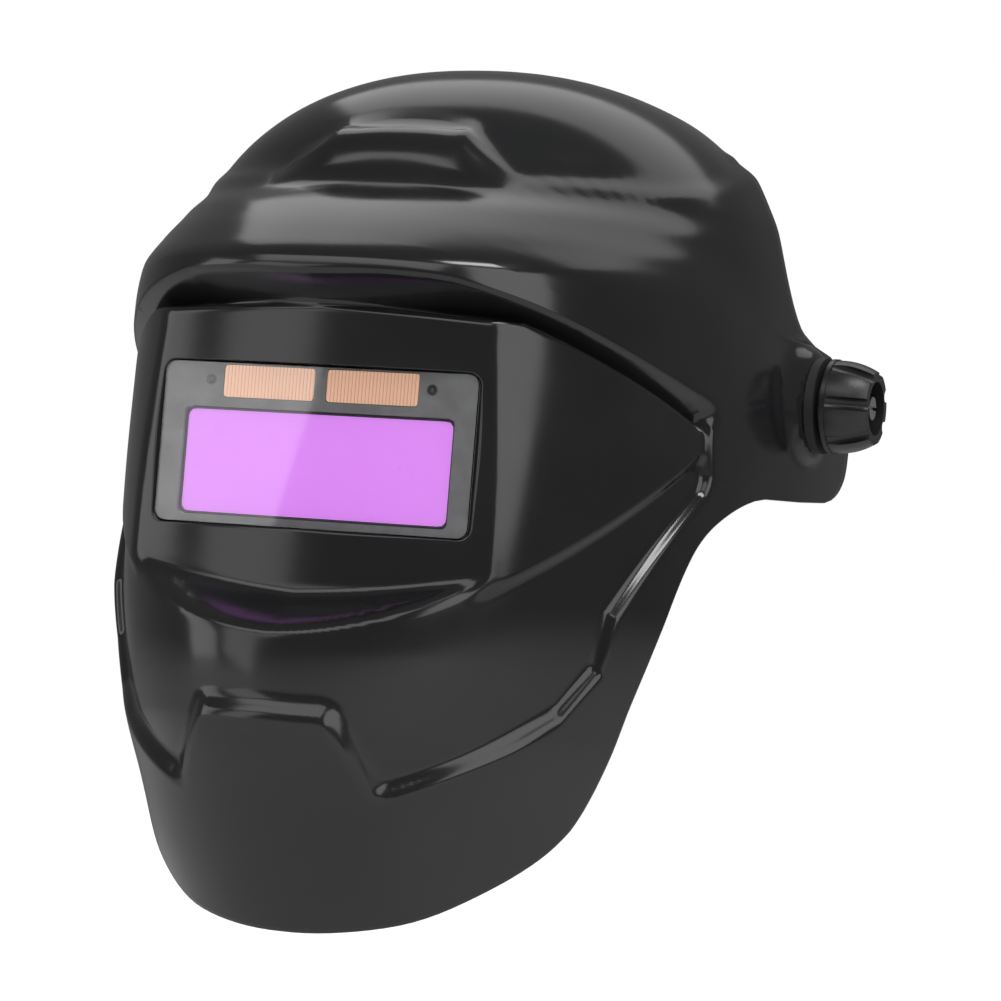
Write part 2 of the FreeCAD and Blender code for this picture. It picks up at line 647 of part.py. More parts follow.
def filter_springs():
    """Two upright leaves that press the cartridge towards the window."""
    back_y = GLASS_Y + CARTRIDGE_DEPTH
    leaves = []
    for side in (-1, 1):
        leaf = plate(SPRING[0], SPRING[2], back_y, SPRING[1], INNER_LENS_Z, 0.8, side * SPRING_X)
        for z in (-SPRING_TAB_Z, SPRING_TAB_Z):
            leaf = leaf.fuse(plate(SPRING_TAB[0], SPRING_TAB[0], back_y + 0.3, SPRING_TAB[1],
                                   INNER_LENS_Z + z, 0.6, side * SPRING_X))
        leaves.append(leaf)
    return Part.makeCompound(leaves)


def inner_cover_lens():
    """Clear plate on the face side, in the tray's rebate."""
    front = GLASS_Y + CARTRIDGE_DEPTH + TRAY_GAP + INNER_LENS_GAP
    return plate(INNER_LENS[0], INNER_LENS[1], front, 1.0, INNER_LENS_Z, 2.0)


def setting_knob(x):
    """Small dial on the face side of the cartridge, with its stem."""
    base = GLASS_Y + CARTRIDGE_DEPTH
    radius, length, inside = DIAL_STEM
    stem = Part.makeCylinder(radius, length, V(x, base - inside, CELL_Z), Y_AXIS)
    dial = Part.makeCone(*DIAL, V(x, base + DIAL_RISE, CELL_Z), Y_AXIS)
    pointer = block(*POINTER, (x, base + DIAL_RISE + DIAL[2] - 0.15, CELL_Z + 1.5))
    return stem.fuse(dial).cut(pointer)


# ---------------------------------------------------------------- headgear
def headband():
    """Band round the head, open at the back, with two side plates for the pivots."""
    ring = band_ring(BAND_HALF_WIDTH, BAND_HALF_LENGTH, BAND_THICK, -BAND_TALL / 2, BAND_TALL / 2)
    ring = ring.cut(block(BAND_GAP, 2 * THROUGH, 2 * THROUGH, (0, BAND_HALF_LENGTH, 0)))
    return with_rivet_holes(tilted(ring))


def with_rivet_holes(shape):
    """Drills the side rivets' holes through a strap or band."""
    for side in (-1, 1):
        for y in RIVET_Y:
            shape = shape.cut(tube_x(side, ARM_INNER - THROUGH, ARM_INNER + THROUGH, RIVET_RADIUS, 0.0, y,
                                     RIVET_Z))
    return shape


def front_pad():
    """Sweatband inside the front of the band."""
    grow = PAD_THICK + SOFT_GAP
    pad = band_ring(BAND_HALF_WIDTH - grow, BAND_HALF_LENGTH - grow, PAD_THICK,
                    -BAND_TALL / 2 - 1, BAND_TALL / 2 + 1)
    pad = pad.common(block(PAD_WIDE, 90, 80, (0, -BAND_HALF_LENGTH + 10, 0)))
    return tilted(pad)


def side_arm(side):
    """Plate riveted outside the band that carries the pivot bolt."""
    start = side * ARM_INNER
    upright = block(ARM_THICK, ARM_WIDE, ARM_TALL, (start + side * ARM_THICK / 2, *ARM_CENTRE))
    corners = [e for e in upright.Edges if abs(e.Vertexes[0].X - e.Vertexes[1].X) > 1]
    arm = upright.makeFillet(ARM_CORNER, corners)
    return with_rivet_holes(arm.cut(tube_x(side, ARM_INNER - ARM_THICK, ARM_INNER + THROUGH, BOLT_RADIUS)))


def arm_rivets(side):
    """Two rivets through the crown strap, the band and the side arm."""
    outer = ARM_INNER + ARM_THICK
    rivets = []
    for y in RIVET_Y:
        rivet = tube_x(side, RIVET_START, outer, RIVET_RADIUS, 0.0, y, RIVET_Z)
        for start in (RIVET_START - RIVET_HEAD[1], outer):
            rivet = rivet.fuse(tube_x(side, start, start + RIVET_HEAD[1], RIVET_HEAD[0], 0.0, y, RIVET_Z))
        rivets.append(rivet)
    return Part.makeCompound(rivets)


def pivot_spacer(side):
    """Sleeve between the side arm and the shell, with the nose on which the shell turns."""
    body = tube_x(side, ARM_INNER + ARM_THICK, SPACER_END, SPACER_RADIUS, BOLT_RADIUS)
    nose = tube_x(side, SPACER_END, BOSS_OUTER, BORE_RADIUS - RUNNING_GAP, BOLT_RADIUS)
    return body.fuse(nose)


def stop_plate(side):
    """Plate on the spacer whose two lugs end the flip at the worn and raised positions."""
    outer = STOP_INNER + STOP_THICK
    wide, narrow = STOP_RIM
    ring = tube_x(side, STOP_INNER, outer, wide, SPACER_RADIUS)
    keep = block(THROUGH, 2 * THROUGH, 2 * THROUGH, (side * STOP_INNER, THROUGH, 0.0))
    ring = ring.common(keep).fuse(tube_x(side, STOP_INNER, outer, narrow, SPACER_RADIUS))
    for angle in STOP_ANGLES:
        y, z = STOP_RADIUS * math.cos(angle), STOP_RADIUS * math.sin(angle)
        ring = ring.fuse(tube_x(side, outer, outer + LUG_LENGTH, PIN_RADIUS, 0.0, y, z))
    return ring


def stop_pin(side):
    """Pin pressed into the shell that meets the stop plate's lugs."""
    y, z = STOP_RADIUS * math.cos(PIN_ANGLE), STOP_RADIUS * math.sin(PIN_ANGLE)
    return tube_x(side, STOP_INNER + STOP_THICK + 0.5, PIN_END, PIN_RADIUS, 0.0, y, z)


def pivot_bolt(side):
    """Carriage bolt with its flat head inside the side arm."""
    end = KNOB_END - BOLT_SHORT
    head = tube_x(side, ARM_INNER - BOLT_HEAD[1], ARM_INNER, BOLT_HEAD[0])
    shank = tube_x(side, ARM_INNER, end, BOLT_RADIUS)
    slot = block(*BOLT_SLOT, (side * end, 0, 0))
    return head.fuse(shank).cut(slot)


def outer_washer(side):
    """Washer on which the thumb knob bears."""
    return tube_x(side, BOSS_OUTER + JOIN_GAP, WASHER_OUTER, WASHER_RADIUS, BOLT_RADIUS + 0.3)


def tension_knob(side):
    """Thumb knob: neck, thin flange, bulged body with flutes that deepen outwards, recessed nose."""
    flange_in, flange_out, flange_radius = KNOB_FLANGE
    neck = tube_x(side, KNOB_INNER, flange_in, KNOB_HUB)
    flange = tube_x(side, flange_in, flange_out, flange_radius)
    start, middle, end = [V(side * x, r, 0) for x, r in KNOB_BODY]
    bulge = Part.Arc(start, middle, end).toShape()
    sides = [Part.makeLine(end, V(end.x, 0, 0)), Part.makeLine(V(end.x, 0, 0), V(start.x, 0, 0)),
             Part.makeLine(V(start.x, 0, 0), start)]
    body = Part.Face(Part.Wire([bulge] + sides)).revolve(V(0, 0, 0), X_AXIS, 360)
    for i in range(KNOB_LOBES):
        angle = 2 * math.pi * (i + 0.5) / KNOB_LOBES
        out = V(0, math.cos(angle), math.sin(angle))
        near = V(start.x, 0, 0) + out * (start.y + FLUTE_RADIUS - FLUTE_START)
        far = V(end.x, 0, 0) + out * (end.y + FLUTE_RADIUS - FLUTE_DEPTH)
        path = far - near
        body = body.cut(Part.makeCylinder(FLUTE_RADIUS, path.Length * 1.2, near, path))
    knob = neck.fuse(flange).fuse(body)
    recess_start, recess_radius = KNOB_RECESS
    knob = knob.cut(tube_x(side, recess_start, KNOB_END + THROUGH, recess_radius))
    return knob.cut(tube_x(side, KNOB_INNER - 1, KNOB_END + THROUGH, BOLT_RADIUS + JOIN_GAP))


def crown_straps():
    """Two straps over the head that overlap at the top, and the pin that joins them."""
    rise = CROWN_TOP - STRAP_FOOT
    inner, step = BAND_HALF_WIDTH - 4.3, STRAP_THICK + JOIN_GAP
    lower = arch(inner, rise, STRAP_FOOT, STRAP_WIDE, STRAP_THICK, STRAP_Y)
    upper = arch(inner + step, rise + step, STRAP_FOOT, STRAP_WIDE, STRAP_THICK, STRAP_Y)
    left = lower.common(block(130, 60, 200, (35, STRAP_Y, 100)))
    right = upper.common(block(130, 60, 200, (-35, STRAP_Y, 100)))
    head_start = CROWN_TOP + 2 * STRAP_THICK + 2 * JOIN_GAP
    pins = []
    for x in (-CROWN_PIN_X, CROWN_PIN_X):
        base = V(x, STRAP_Y, CROWN_TOP - 2 * STRAP_THICK)
        hole = Part.makeCylinder(CROWN_PIN_RADIUS + JOIN_GAP, THROUGH, base, Z_AXIS)
        left, right = left.cut(hole), right.cut(hole)
        shank = Part.makeCylinder(CROWN_PIN_RADIUS, head_start - base.z, base, Z_AXIS)
        pins.append(shank.fuse(Part.makeCylinder(*CROWN_PIN_HEAD, V(x, STRAP_Y, head_start), Z_AXIS)))
    return with_rivet_holes(left), with_rivet_holes(right), Part.makeCompound(pins)


def placed_at_ratchet(shape):
    """Moves a shape built at the origin to the ratchet at the back of the band."""
    shape.translate(V(0, RATCHET_Y, RATCHET_Z))
    return shape


def rack(side):
    """Toothed tongue that the pinion draws through the housing, above or below it."""
    spine_z = PITCH_RADIUS + ROOT_DEPTH + RACK_TALL / 2
    body = block(RACK_LENGTH, RACK_THICK, RACK_TALL,
                 (side * (RACK_START + RACK_LENGTH / 2), 0, side * spine_z))
    pitch = 2 * math.pi * PITCH_RADIUS / PINION_TEETH
    first = math.ceil((RACK_START + TOOTH_WIDE) / pitch - 0.5)
    last = math.floor((RACK_START + RACK_LENGTH - TOOTH_WIDE) / pitch - 0.5)
    for i in range(first, last + 1):
        x = side * (i + 0.5) * pitch
        body = body.fuse(block(TOOTH_WIDE, RACK_THICK, 2 * ROOT_DEPTH, (x, 0, side * (PITCH_RADIUS + 0.2))))
    return placed_at_ratchet(body)


def housing_screw_places():
    """Centres of the ratchet's four screws."""
    across, up = CASE_SCREW
    return [(x, z) for x in (-across, across) for z in (-up, up)]


def ratchet_housing():
    """Shallow tray on the head side of the racks."""
    wide, tall = RATCHET_SIZE
    tray = plate(wide, tall, TRAY_Y[0], TRAY_Y[1] - TRAY_Y[0], 0, 6)
    tray = tray.cut(plate(wide - 4.0, tall - 8.0, TRAY_Y[0] + 2.3, THROUGH, 0, 3.0))
    for x, z in housing_screw_places():
        tray = tray.cut(Part.makeCylinder(CASE_SCREW_RADIUS, THROUGH, V(x, CASE_SCREW_Y, z), Y_AXIS))
    return placed_at_ratchet(tray)


def ratchet_cover():
    """Cover behind the racks, bored for the pinion's shaft."""
    cover = plate(RATCHET_SIZE[0], RATCHET_SIZE[1], TRAY_Y[1], COVER_THICK, 0, 6)
    cover = cover.cut(Part.makeCylinder(SHAFT_RADIUS + RUNNING_GAP, THROUGH, V(0, TRAY_Y[0], 0), Y_AXIS))
    for x, z in housing_screw_places():
        cover = cover.cut(Part.makeCylinder(CASE_SCREW_RADIUS, THROUGH, V(x, CASE_SCREW_Y, z), Y_AXIS))
    return placed_at_ratchet(cover)


def ratchet_pinion():
    """Pinion between the two racks, with the shaft that carries the knob."""
    root, tip = PITCH_RADIUS - ROOT_DEPTH, PITCH_RADIUS + 1.0
    pinion = Part.makeCylinder(root, PINION_THICK, V(0, -PINION_THICK / 2, 0), Y_AXIS)
    for i in range(PINION_TEETH):
        tooth = block(TOOTH_WIDE, PINION_THICK, tip - root + 0.6, (0, 0, (tip + root - 0.6) / 2))
        tooth.rotate(V(0, 0, 0), Y_AXIS, 360.0 * i / PINION_TEETH)
        pinion = pinion.fuse(tooth)
    return placed_at_ratchet(pinion.fuse(Part.makeCylinder(SHAFT_RADIUS, 6.2, V(0, 1.0, 0), Y_AXIS)))


def ratchet_knob():
    """Ribbed round knob at the back of the head."""
    radius, length, start = RATCHET_KNOB
    body = Part.makeCylinder(radius, length, V(0, start, 0), Y_AXIS)
    body = body.makeFillet(2.5, [e for e in body.Edges if e.BoundBox.YMin > start + length - 1])
    for i in range(KNOB_RIBS):
        angle = 2 * math.pi * i / KNOB_RIBS
        groove_at = V((radius + 0.6) * math.cos(angle), start + RIB_RADIUS, (radius + 0.6) * math.sin(angle))
        body = body.cut(Part.makeCylinder(RIB_RADIUS, length + 1, groove_at, Y_AXIS))
    return placed_at_ratchet(body.cut(Part.makeCylinder(SHAFT_RADIUS, 3.0, V(0, 4.2, 0), Y_AXIS)))


def rear_pad():
    """Comfort pad between the ratchet housing and the head."""
    return placed_at_ratchet(plate(*REAR_PAD, 0, 9))


def housing_screws():
    """Four screws that close the ratchet housing."""
    screws = []
    for x, z in housing_screw_places():
        head_y = TRAY_Y[1] + COVER_THICK
        shank = Part.makeCylinder(CASE_SCREW_RADIUS, head_y - CASE_SCREW_Y, V(x, CASE_SCREW_Y, z), Y_AXIS)
        screws.append(shank.fuse(Part.makeCylinder(*CASE_SCREW_HEAD, V(x, head_y, z), Y_AXIS)))
    return placed_at_ratchet(Part.makeCompound(screws))


def main():
    os.makedirs("parts", exist_ok=True)
    save("helmet_shell", helmet_shell())
    save("front_cover_lens", plate(FACE_SIZE[0], FACE_SIZE[1], COVER_Y, 1.0, WINDOW_Z, FACE_CORNER))
    for name, shape in cartridge_layers().items():
        save(name, shape)
    save("filter_holder", filter_holder())
    save("holder_screws", holder_screws())
    save("filter_springs", filter_springs())
    save("inner_cover_lens", inner_cover_lens())
    save("sensitivity_knob", setting_knob(-DIAL_X))
    save("delay_knob", setting_knob(DIAL_X))
    save("headband", headband())
    save("front_sweatband", front_pad())
    left, right, pins = crown_straps()
    save("crown_strap_left", left)
    save("crown_strap_right", right)
    save("crown_pins", pins)
    for side, label in ((1, "left"), (-1, "right")):
        save("side_arm_" + label, side_arm(side))
        save("arm_rivets_" + label, arm_rivets(side))
        save("pivot_spacer_" + label, pivot_spacer(side))
        save("stop_plate_" + label, stop_plate(side))
        save("stop_pin_" + label, stop_pin(side))
        save("pivot_bolt_" + label, pivot_bolt(side))
        save("outer_washer_" + label, outer_washer(side))
        save("tension_knob_" + label, tension_knob(side))
        save("rack_" + label, rack(side))
    save("ratchet_housing", ratchet_housing())
    save("ratchet_cover", ratchet_cover())
    save("ratchet_pinion", ratchet_pinion())
    save("ratchet_knob", ratchet_knob())
    save("rear_pad", rear_pad())
    save("housing_screws", housing_screws())


main()
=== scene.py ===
import json
import math

import bpy
import numpy as np
from mathutils import Matrix, Vector


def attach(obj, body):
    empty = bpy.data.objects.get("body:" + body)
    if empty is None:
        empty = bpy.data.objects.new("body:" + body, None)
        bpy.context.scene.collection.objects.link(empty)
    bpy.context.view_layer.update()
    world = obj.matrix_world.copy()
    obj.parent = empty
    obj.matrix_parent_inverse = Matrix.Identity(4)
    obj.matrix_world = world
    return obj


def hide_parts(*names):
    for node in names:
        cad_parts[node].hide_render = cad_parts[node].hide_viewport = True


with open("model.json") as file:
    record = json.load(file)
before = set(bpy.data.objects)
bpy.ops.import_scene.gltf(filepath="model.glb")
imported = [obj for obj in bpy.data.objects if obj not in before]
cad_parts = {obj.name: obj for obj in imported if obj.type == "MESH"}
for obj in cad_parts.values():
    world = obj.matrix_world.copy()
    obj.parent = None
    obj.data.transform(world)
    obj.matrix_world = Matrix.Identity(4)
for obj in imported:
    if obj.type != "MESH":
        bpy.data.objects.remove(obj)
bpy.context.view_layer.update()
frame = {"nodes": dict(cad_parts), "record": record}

MM = 0.001

# ---- camera: where it stands from the pivot axis, and its lens ----
CAMERA_TURN = math.radians(21.97)
CAMERA_LIFT = math.radians(-2.68)
CAMERA_ROLL = math.radians(4.65)
CAMERA_DISTANCE = 1.300
CAMERA_SHIFT = (0.0015, 0.039)
CAMERA_LENS = 132.3
SENSOR_WIDTH = 36.0

# ---- shell outline in millimetres, as (height, value) stations ----
SHELL_DEPTH = [
    (-200, 141), (-186, 150), (-142, 171), (-119, 181), (-95, 184), (-60, 182), (0, 175),
    (19, 173), (24, 172), (35, 159), (46, 140.5), (57, 119), (64, 116), (74, 114),
]
SHELL_HALF_WIDTH = [
    (-200, 78), (-180, 84), (-161, 92), (-145, 96), (-118, 103.5), (-75, 113), (-40, 114),
    (-10, 113), (20, 109.5), (40, 106), (57, 102), (66, 98), (74, 93.5), (81, 88),
]
SHELL_POWER = [(-200, 2.2), (-120, 2.2), (-60, 2.25), (0, 2.4), (20, 2.5), (40, 2.5), (57, 2.65)]
SECTION_CENTRE_Y = 30.0
WALL = 2.4
STEP = 4.0
WALL_SLANTS = [(-20, 0.85), (8, 0.25)]     # by height: open at the cheeks, steep under the brim
DOME_CENTRE = (0.0, -5.0, 20.0)
DOME_HEIGHT = 88.7
DOME_HALF_WIDTH = 106.5
DOME_SECTION_POWER = 2.23
DOME_PLAN_POWER = 2.45
DOME_FRONT = 113.0
DOME_BACK = 150.0
# heights of the visor's top and bottom edges, by angle from straight ahead
CREST_HEIGHTS = [(15, 70.5), (25, 57), (40, 58.5), (55, 60.5), (75, 67), (97, 78)]
BRIM_HEIGHTS = [(0, 20), (27, 17), (58, -5), (62, -9)]
RAY_CENTRE = (0.0, -20.0, -40.0)
MASK_OUTLINE = [
    (0, -172.5, 20), (44, -160, 18.5), (66, -146, 13.5), (101, -81, -6), (103, -73, -9), (104, -71, -32),
    (103.5, -73.5, -37.5), (89.5, -111, -80), (86, -112, -98), (77.5, -122.5, -114),
    (67, -136, -124), (34, -161, -142), (21, -178, -118), (0, -181, -118),
]
RIM_OUTLINE = [
    (14, 108.5), (8, 106.5), (-1, 100.5), (-8, 88.5), (-12, 72), (-12, 58), (-13, 46), (-10, 35),
    (-4, 27), (3, 22.5), (14, 21), (33, 20), (44, 14), (50, 0), (48.5, -14), (44.5, -23),
    (34, -29.5), (20, -32.5), (-5, -33.5), (-33, -34.5), (-45, -36.5), (-59.5, -41.5),
    (-74, -50), (-82.5, -61.5), (-91, -82), (-95, -103), (-96, -120), (-98.5, -144),
    (-106, -154.5), (-116.5, -163.5), (-124, -169.5), (-136, -179), (-147.5, -184), (-151, -186),
]
WINDOW_Z = -34.0
OPENING = (109.0, 52.0)
OPENING_CORNER = 4.0
RECESS_FLOOR_Y = -151.5
BOX_FRONT_RADIUS = 231.0
BOX_FRONT_Y = -161.0
BOX_CORNER = (72.0, -149.4)
PANEL_NORMAL = (0.893, -0.450)
PANE = (93.5, 34.5)
PANE_Z = -39.75
BORDER_Y = -152.5
BORDER_THICK = 0.3
BORDER_WIDE = 0.9
BORDER_CORNER = 2.2
BORDER_COLUMNS = 200
TONGUE_STEPS = 16
TONGUE_STATIONS = (0, 0.35, 0.7, 1)
TONGUE_PATH = ((47.0, 41.0, 37.5, 35.0), (83.3, 88.4, 93.0, 100.5), (-1.0, -3.0, -5.0, -8.0))
TONGUE_SECTION = (0.8, 9.5, 0.3)    # half thickness, half height, chamfer
PIVOT_BOSS_RADIUS = 18.0
PIVOT_BOSS_FACE = 115.5
PIVOT_BOSS_FLARE = 0.55
PIVOT_BOSS_INNER = 107.7
PIVOT_BORE_RADIUS = 5.5
INNER_BOSS_EASE = 0.6
TURNED_COLUMNS = 96
CORNER_POINTS = 13
FAR_AWAY = 1e9
ALMOST_ZERO = 1e-9
TINY = 1e-6

# ---- how the shell's surfaces meet: slopes, offsets and rounding, in millimetres ----
LEDGE_LEAN = 0.9                # fall of the ledge for each millimetre outwards
LEDGE_REACH = -6                # further inside the visor than this the ledge stays level
LEDGE_BLEND = 1.8
DOME_BLEND = 2.5
LAYER_BLEND = 1.4
BRIM_GAP = 8.5                  # from the brim's line down to the top of the window box
PANEL_BLEND = 4
BOX_BLEND = 3
SHELF_BELOW = 91                # the shelf's plane passes this far below the pivots and ahead of them
SHELF_AHEAD = 176
SHELF_SLOPE = 0.62
SHELF_SLANT = 1.177             # length of the plane's normal before it is scaled to one
SHELF_RISE = 0.047              # rise of the shelf for each millimetre towards the cheeks
SHELF_LIFT = 1                  # the shelf lies this far above its plane
BOX_FOOT = 3                    # how far the window box runs into the shelf
CHEEK_BLEND = 2
BODY_SHARE = 0.6                # share of the step by which the box and shelf stay below the visor
BODY_BLEND = 1.5
SKIN_BLEND = 1.8
BOSS_INSIDE = 104
BOSS_EDGE = 1.5
BOSS_ROOT = 1
BOSS_BLEND = 4
NEAREST_SKIN = 60.0             # range searched for the skin along each ray
FARTHEST_SKIN = 240.0
FRONT_NEAREST = -120.0          # range searched for the front skin along the Y axis
FRONT_FARTHEST = -190.0
HALVINGS = 18
FRONT_NARROWING = 1.5           # how soon the profile's slope stops counting towards the sides
MASK_OVERLAP = -30.0            # degrees past the middle at which each outline is closed
RIM_OVERLAP = -8.0
WIDTHS_TRIED = np.linspace(0, 140, 1401)
OUT_OF_REACH = 99

# ---- the shell's mesh ----
COLUMNS = 520
MASK_ROWS = 34
WALL_ROWS = 62
LAYER_ROWS = 32
INNER_ROWS = 34
RIM_ROWS = 6
WALL_IN = 7.5                   # degrees of closely spaced rows inside and outside the mask's edge
WALL_OUT = 4.0
EASE_COLUMNS = 9
RIM_MARGIN = 2.5                # degrees kept between the mask's edge and the rim
INNER_START = 1.5               # degrees from the window's edge to the first inner ring
BACK_GROWTH = (3.2, 1.6)        # how much the opening and its corners grow on the inside
LIP_DEPTH = 0.5


# ---------------------------------------------------------------- shell surface
def soft_max(a, b, blend):
    """The larger of two distances, with the corner between them rounded."""
    near = np.clip(blend - np.abs(a - b), 0, None)
    return np.maximum(a, b) + near * near / (4 * blend)


def soft_min(a, b, blend):
    return -soft_max(-a, -b, blend)


def smooth_slopes(heights, values):
    """Slope at each station that keeps the curve through them free of overshoot."""
    spans = np.diff(heights)
    rises = np.diff(values) / spans
    slopes = np.zeros(len(heights))
    slopes[0] = rises[0]
    slopes[-1] = rises[-1]
    for i in range(1, len(rises)):
        if rises[i - 1] * rises[i] > 0:
            first = 2 * spans[i] + spans[i - 1]
            second = spans[i] + 2 * spans[i - 1]
            slopes[i] = (first + second) / (first / rises[i - 1] + second / rises[i])
    return slopes


def along(stations, height):
    """Smooth value at each height, held at the first and last station beyond them."""
    heights, values = np.array(stations, dtype=float).T
    slopes = smooth_slopes(heights, values)
    level = np.clip(height, heights[0], heights[-1])
    i = np.clip(np.searchsorted(heights, level) - 1, 0, len(heights) - 2)
    span = heights[i + 1] - heights[i]
    t = (level - heights[i]) / span
    rise = t * t * (3 - 2 * t)
    start = t * (1 - t) * (1 - t) * span * slopes[i]
    end = t * t * (t - 1) * span * slopes[i + 1]
    return values[i] + (values[i + 1] - values[i]) * rise + start + end


def face_distance(x, y, z):
    """Distance outside the visor, cheeks and chin, as one body with no steps."""
    half_width = along(SHELL_HALF_WIDTH, z)
    depth = along(SHELL_DEPTH, z) + SECTION_CENTRE_Y
    power = along(SHELL_POWER, z)
    ax = np.maximum(np.abs(x) / half_width, TINY)
    ay = np.clip(SECTION_CENTRE_Y - y, 0, None) / depth
    size = (ax ** power + ay ** power) ** (1 / power)
    gx = (ax / size) ** (power - 1) / half_width
    gy = (ay / size) ** (power - 1) / depth
    flat = (size - 1) / np.hypot(gx, gy)
    slope = (along(SHELL_DEPTH, z + 1) - along(SHELL_DEPTH, z - 1)) / 2
    front = np.clip(-y, 0, None) / np.maximum(np.hypot(FRONT_NARROWING * x, y), 1)
    return flat / np.sqrt(1 + (slope * front * front) ** 2)


def dome_distance(x, y, z):
    """Distance outside the crown of the shell."""
    back = y - DOME_CENTRE[1]
    reach = np.where(back > 0, DOME_BACK, DOME_FRONT)
    ax = np.maximum(np.abs(x) / DOME_HALF_WIDTH, TINY)
    az = np.clip(z - DOME_CENTRE[2], 0, None) / DOME_HEIGHT
    bend = DOME_SECTION_POWER
    across = (ax ** bend + az ** bend) ** (1 / bend)
    power = DOME_PLAN_POWER
    ay = np.abs(back) / reach
    size = (across ** power + ay ** power) ** (1 / power)
    lean = (across / size) ** (power - 1)
    gx = lean * (ax / across) ** (bend - 1) / DOME_HALF_WIDTH
    gz = lean * (az / across) ** (bend - 1) / DOME_HEIGHT
    gy = (ay / size) ** (power - 1) / reach
    return (size - 1) / np.sqrt(gx * gx + gy * gy + gz * gz)


def view_angles(x, y, z):
    """Direction from the ray centre, in degrees sideways and up from straight ahead, and range."""
    dx = x - RAY_CENTRE[0]
    dy = y - RAY_CENTRE[1]
    dz = z - RAY_CENTRE[2]
    reach = np.sqrt(dx * dx + dy * dy + dz * dz)
    off_axis = np.degrees(np.arccos(np.clip(-dy / reach, -1, 1)))
    turn = np.arctan2(dz, dx)
    return off_axis * np.cos(turn), off_axis * np.sin(turn), reach


def outside_loop(a, b, loop):
    """Signed distance from points to a closed outline, negative inside it."""
    nearest = np.full(a.shape, FAR_AWAY)
    inside = np.zeros(a.shape, dtype=bool)
    for (x0, y0), (x1, y1) in zip(loop, loop[1:] + loop[:1]):
        ex = x1 - x0
        ey = y1 - y0
        wx = a - x0
        wy = b - y0
        t = np.clip((wx * ex + wy * ey) / (ex * ex + ey * ey), 0, 1)
        nearest = np.minimum(nearest, (wx - ex * t) ** 2 + (wy - ey * t) ** 2)
        if y0 != y1:
            crosses = ((y0 <= b) != (y1 <= b)) & (a < ex * (b - y0) / ey + x0)
            inside ^= crosses
    return np.sqrt(nearest) * np.where(inside, -1, 1)


def outline_angles(points):
    return [tuple(float(v) for v in view_angles(*np.array(p, dtype=float))[:2]) for p in points]


MASK = outline_angles(MASK_OUTLINE)
MASK_LOOP = [(MASK_OVERLAP, MASK[0][1])] + MASK + [(MASK_OVERLAP, MASK[-1][1])]


def shell_distance(x, y, z):
    """Distance outside the finished shell: outer layer, recessed mask, window box and shelf."""
    x = np.abs(x)
    side, up, reach = view_angles(x, y, z)
    azimuth = np.degrees(np.arctan2(x, RAY_CENTRE[1] - y))
    face = face_distance(x, y, z)
    crest = np.interp(azimuth, *np.array(CREST_HEIGHTS, dtype=float).T)
    ledge = (z - crest + LEDGE_LEAN * np.maximum(face, LEDGE_REACH)) / math.sqrt(1 + LEDGE_LEAN ** 2)
    outer = soft_min(soft_max(face, ledge, LEDGE_BLEND), dome_distance(x, y, z), DOME_BLEND)
    outside_mask = outside_loop(side, up, MASK_LOOP) * np.radians(reach)
    slant = np.interp(z, *np.array(WALL_SLANTS, dtype=float).T)
    wall = (slant * outer - outside_mask) / np.hypot(1, slant)
    layer = soft_max(outer, wall, LAYER_BLEND)
    front = np.hypot(x, y - BOX_FRONT_Y - BOX_FRONT_RADIUS) - BOX_FRONT_RADIUS
    panel = PANEL_NORMAL[0] * (x - BOX_CORNER[0]) + PANEL_NORMAL[1] * (y - BOX_CORNER[1])
    brim = np.interp(azimuth, *np.array(BRIM_HEIGHTS, dtype=float).T)
    box = soft_max(soft_max(front, panel, PANEL_BLEND), z - brim + BRIM_GAP, BOX_BLEND)
    shelf = (z + SHELF_BELOW - SHELF_SLOPE * (y + SHELF_AHEAD)) / SHELF_SLANT - SHELF_LIFT - SHELF_RISE * x
    box = soft_max(box, -BOX_FOOT - shelf, BOX_BLEND)
    cheek = soft_max(face + STEP, shelf, CHEEK_BLEND)
    body = soft_max(soft_min(box, cheek, BOX_BLEND), face + BODY_SHARE * STEP, BODY_BLEND)
    skin = soft_min(layer, body, SKIN_BLEND)
    flare = PIVOT_BOSS_RADIUS + PIVOT_BOSS_FLARE * (PIVOT_BOSS_FACE - x)
    cone = (np.hypot(y, z) - flare) / math.hypot(1, PIVOT_BOSS_FLARE)
    boss = soft_max(soft_max(cone, x - PIVOT_BOSS_FACE, BOSS_EDGE), BOSS_INSIDE - x, BOSS_ROOT)
    return soft_min(skin, boss, BOSS_BLEND)


def wall_points(rays, level):
    """Where rays from the ray centre cross the surface that lies level outside the shell's skin."""
    near = np.full(rays.shape[:-1], NEAREST_SKIN)
    far = np.full(rays.shape[:-1], FARTHEST_SKIN)
    centre = np.array(RAY_CENTRE)
    for _ in range(HALVINGS):
        middle = (near + far) / 2
        points = centre + rays * middle[..., None]
        inside = shell_distance(*np.moveaxis(points, -1, 0)) < level
        near = np.where(inside, middle, near)
        far = np.where(inside, far, middle)
    return centre + rays * near[..., None]


def rays_at(reach, turn):
    """Unit vectors at reach degrees from straight ahead, in the direction turn."""
    off_axis = np.radians(reach)
    ring = np.sin(off_axis)
    return np.stack([ring * np.cos(turn), -np.cos(off_axis), ring * np.sin(turn)], axis=-1)


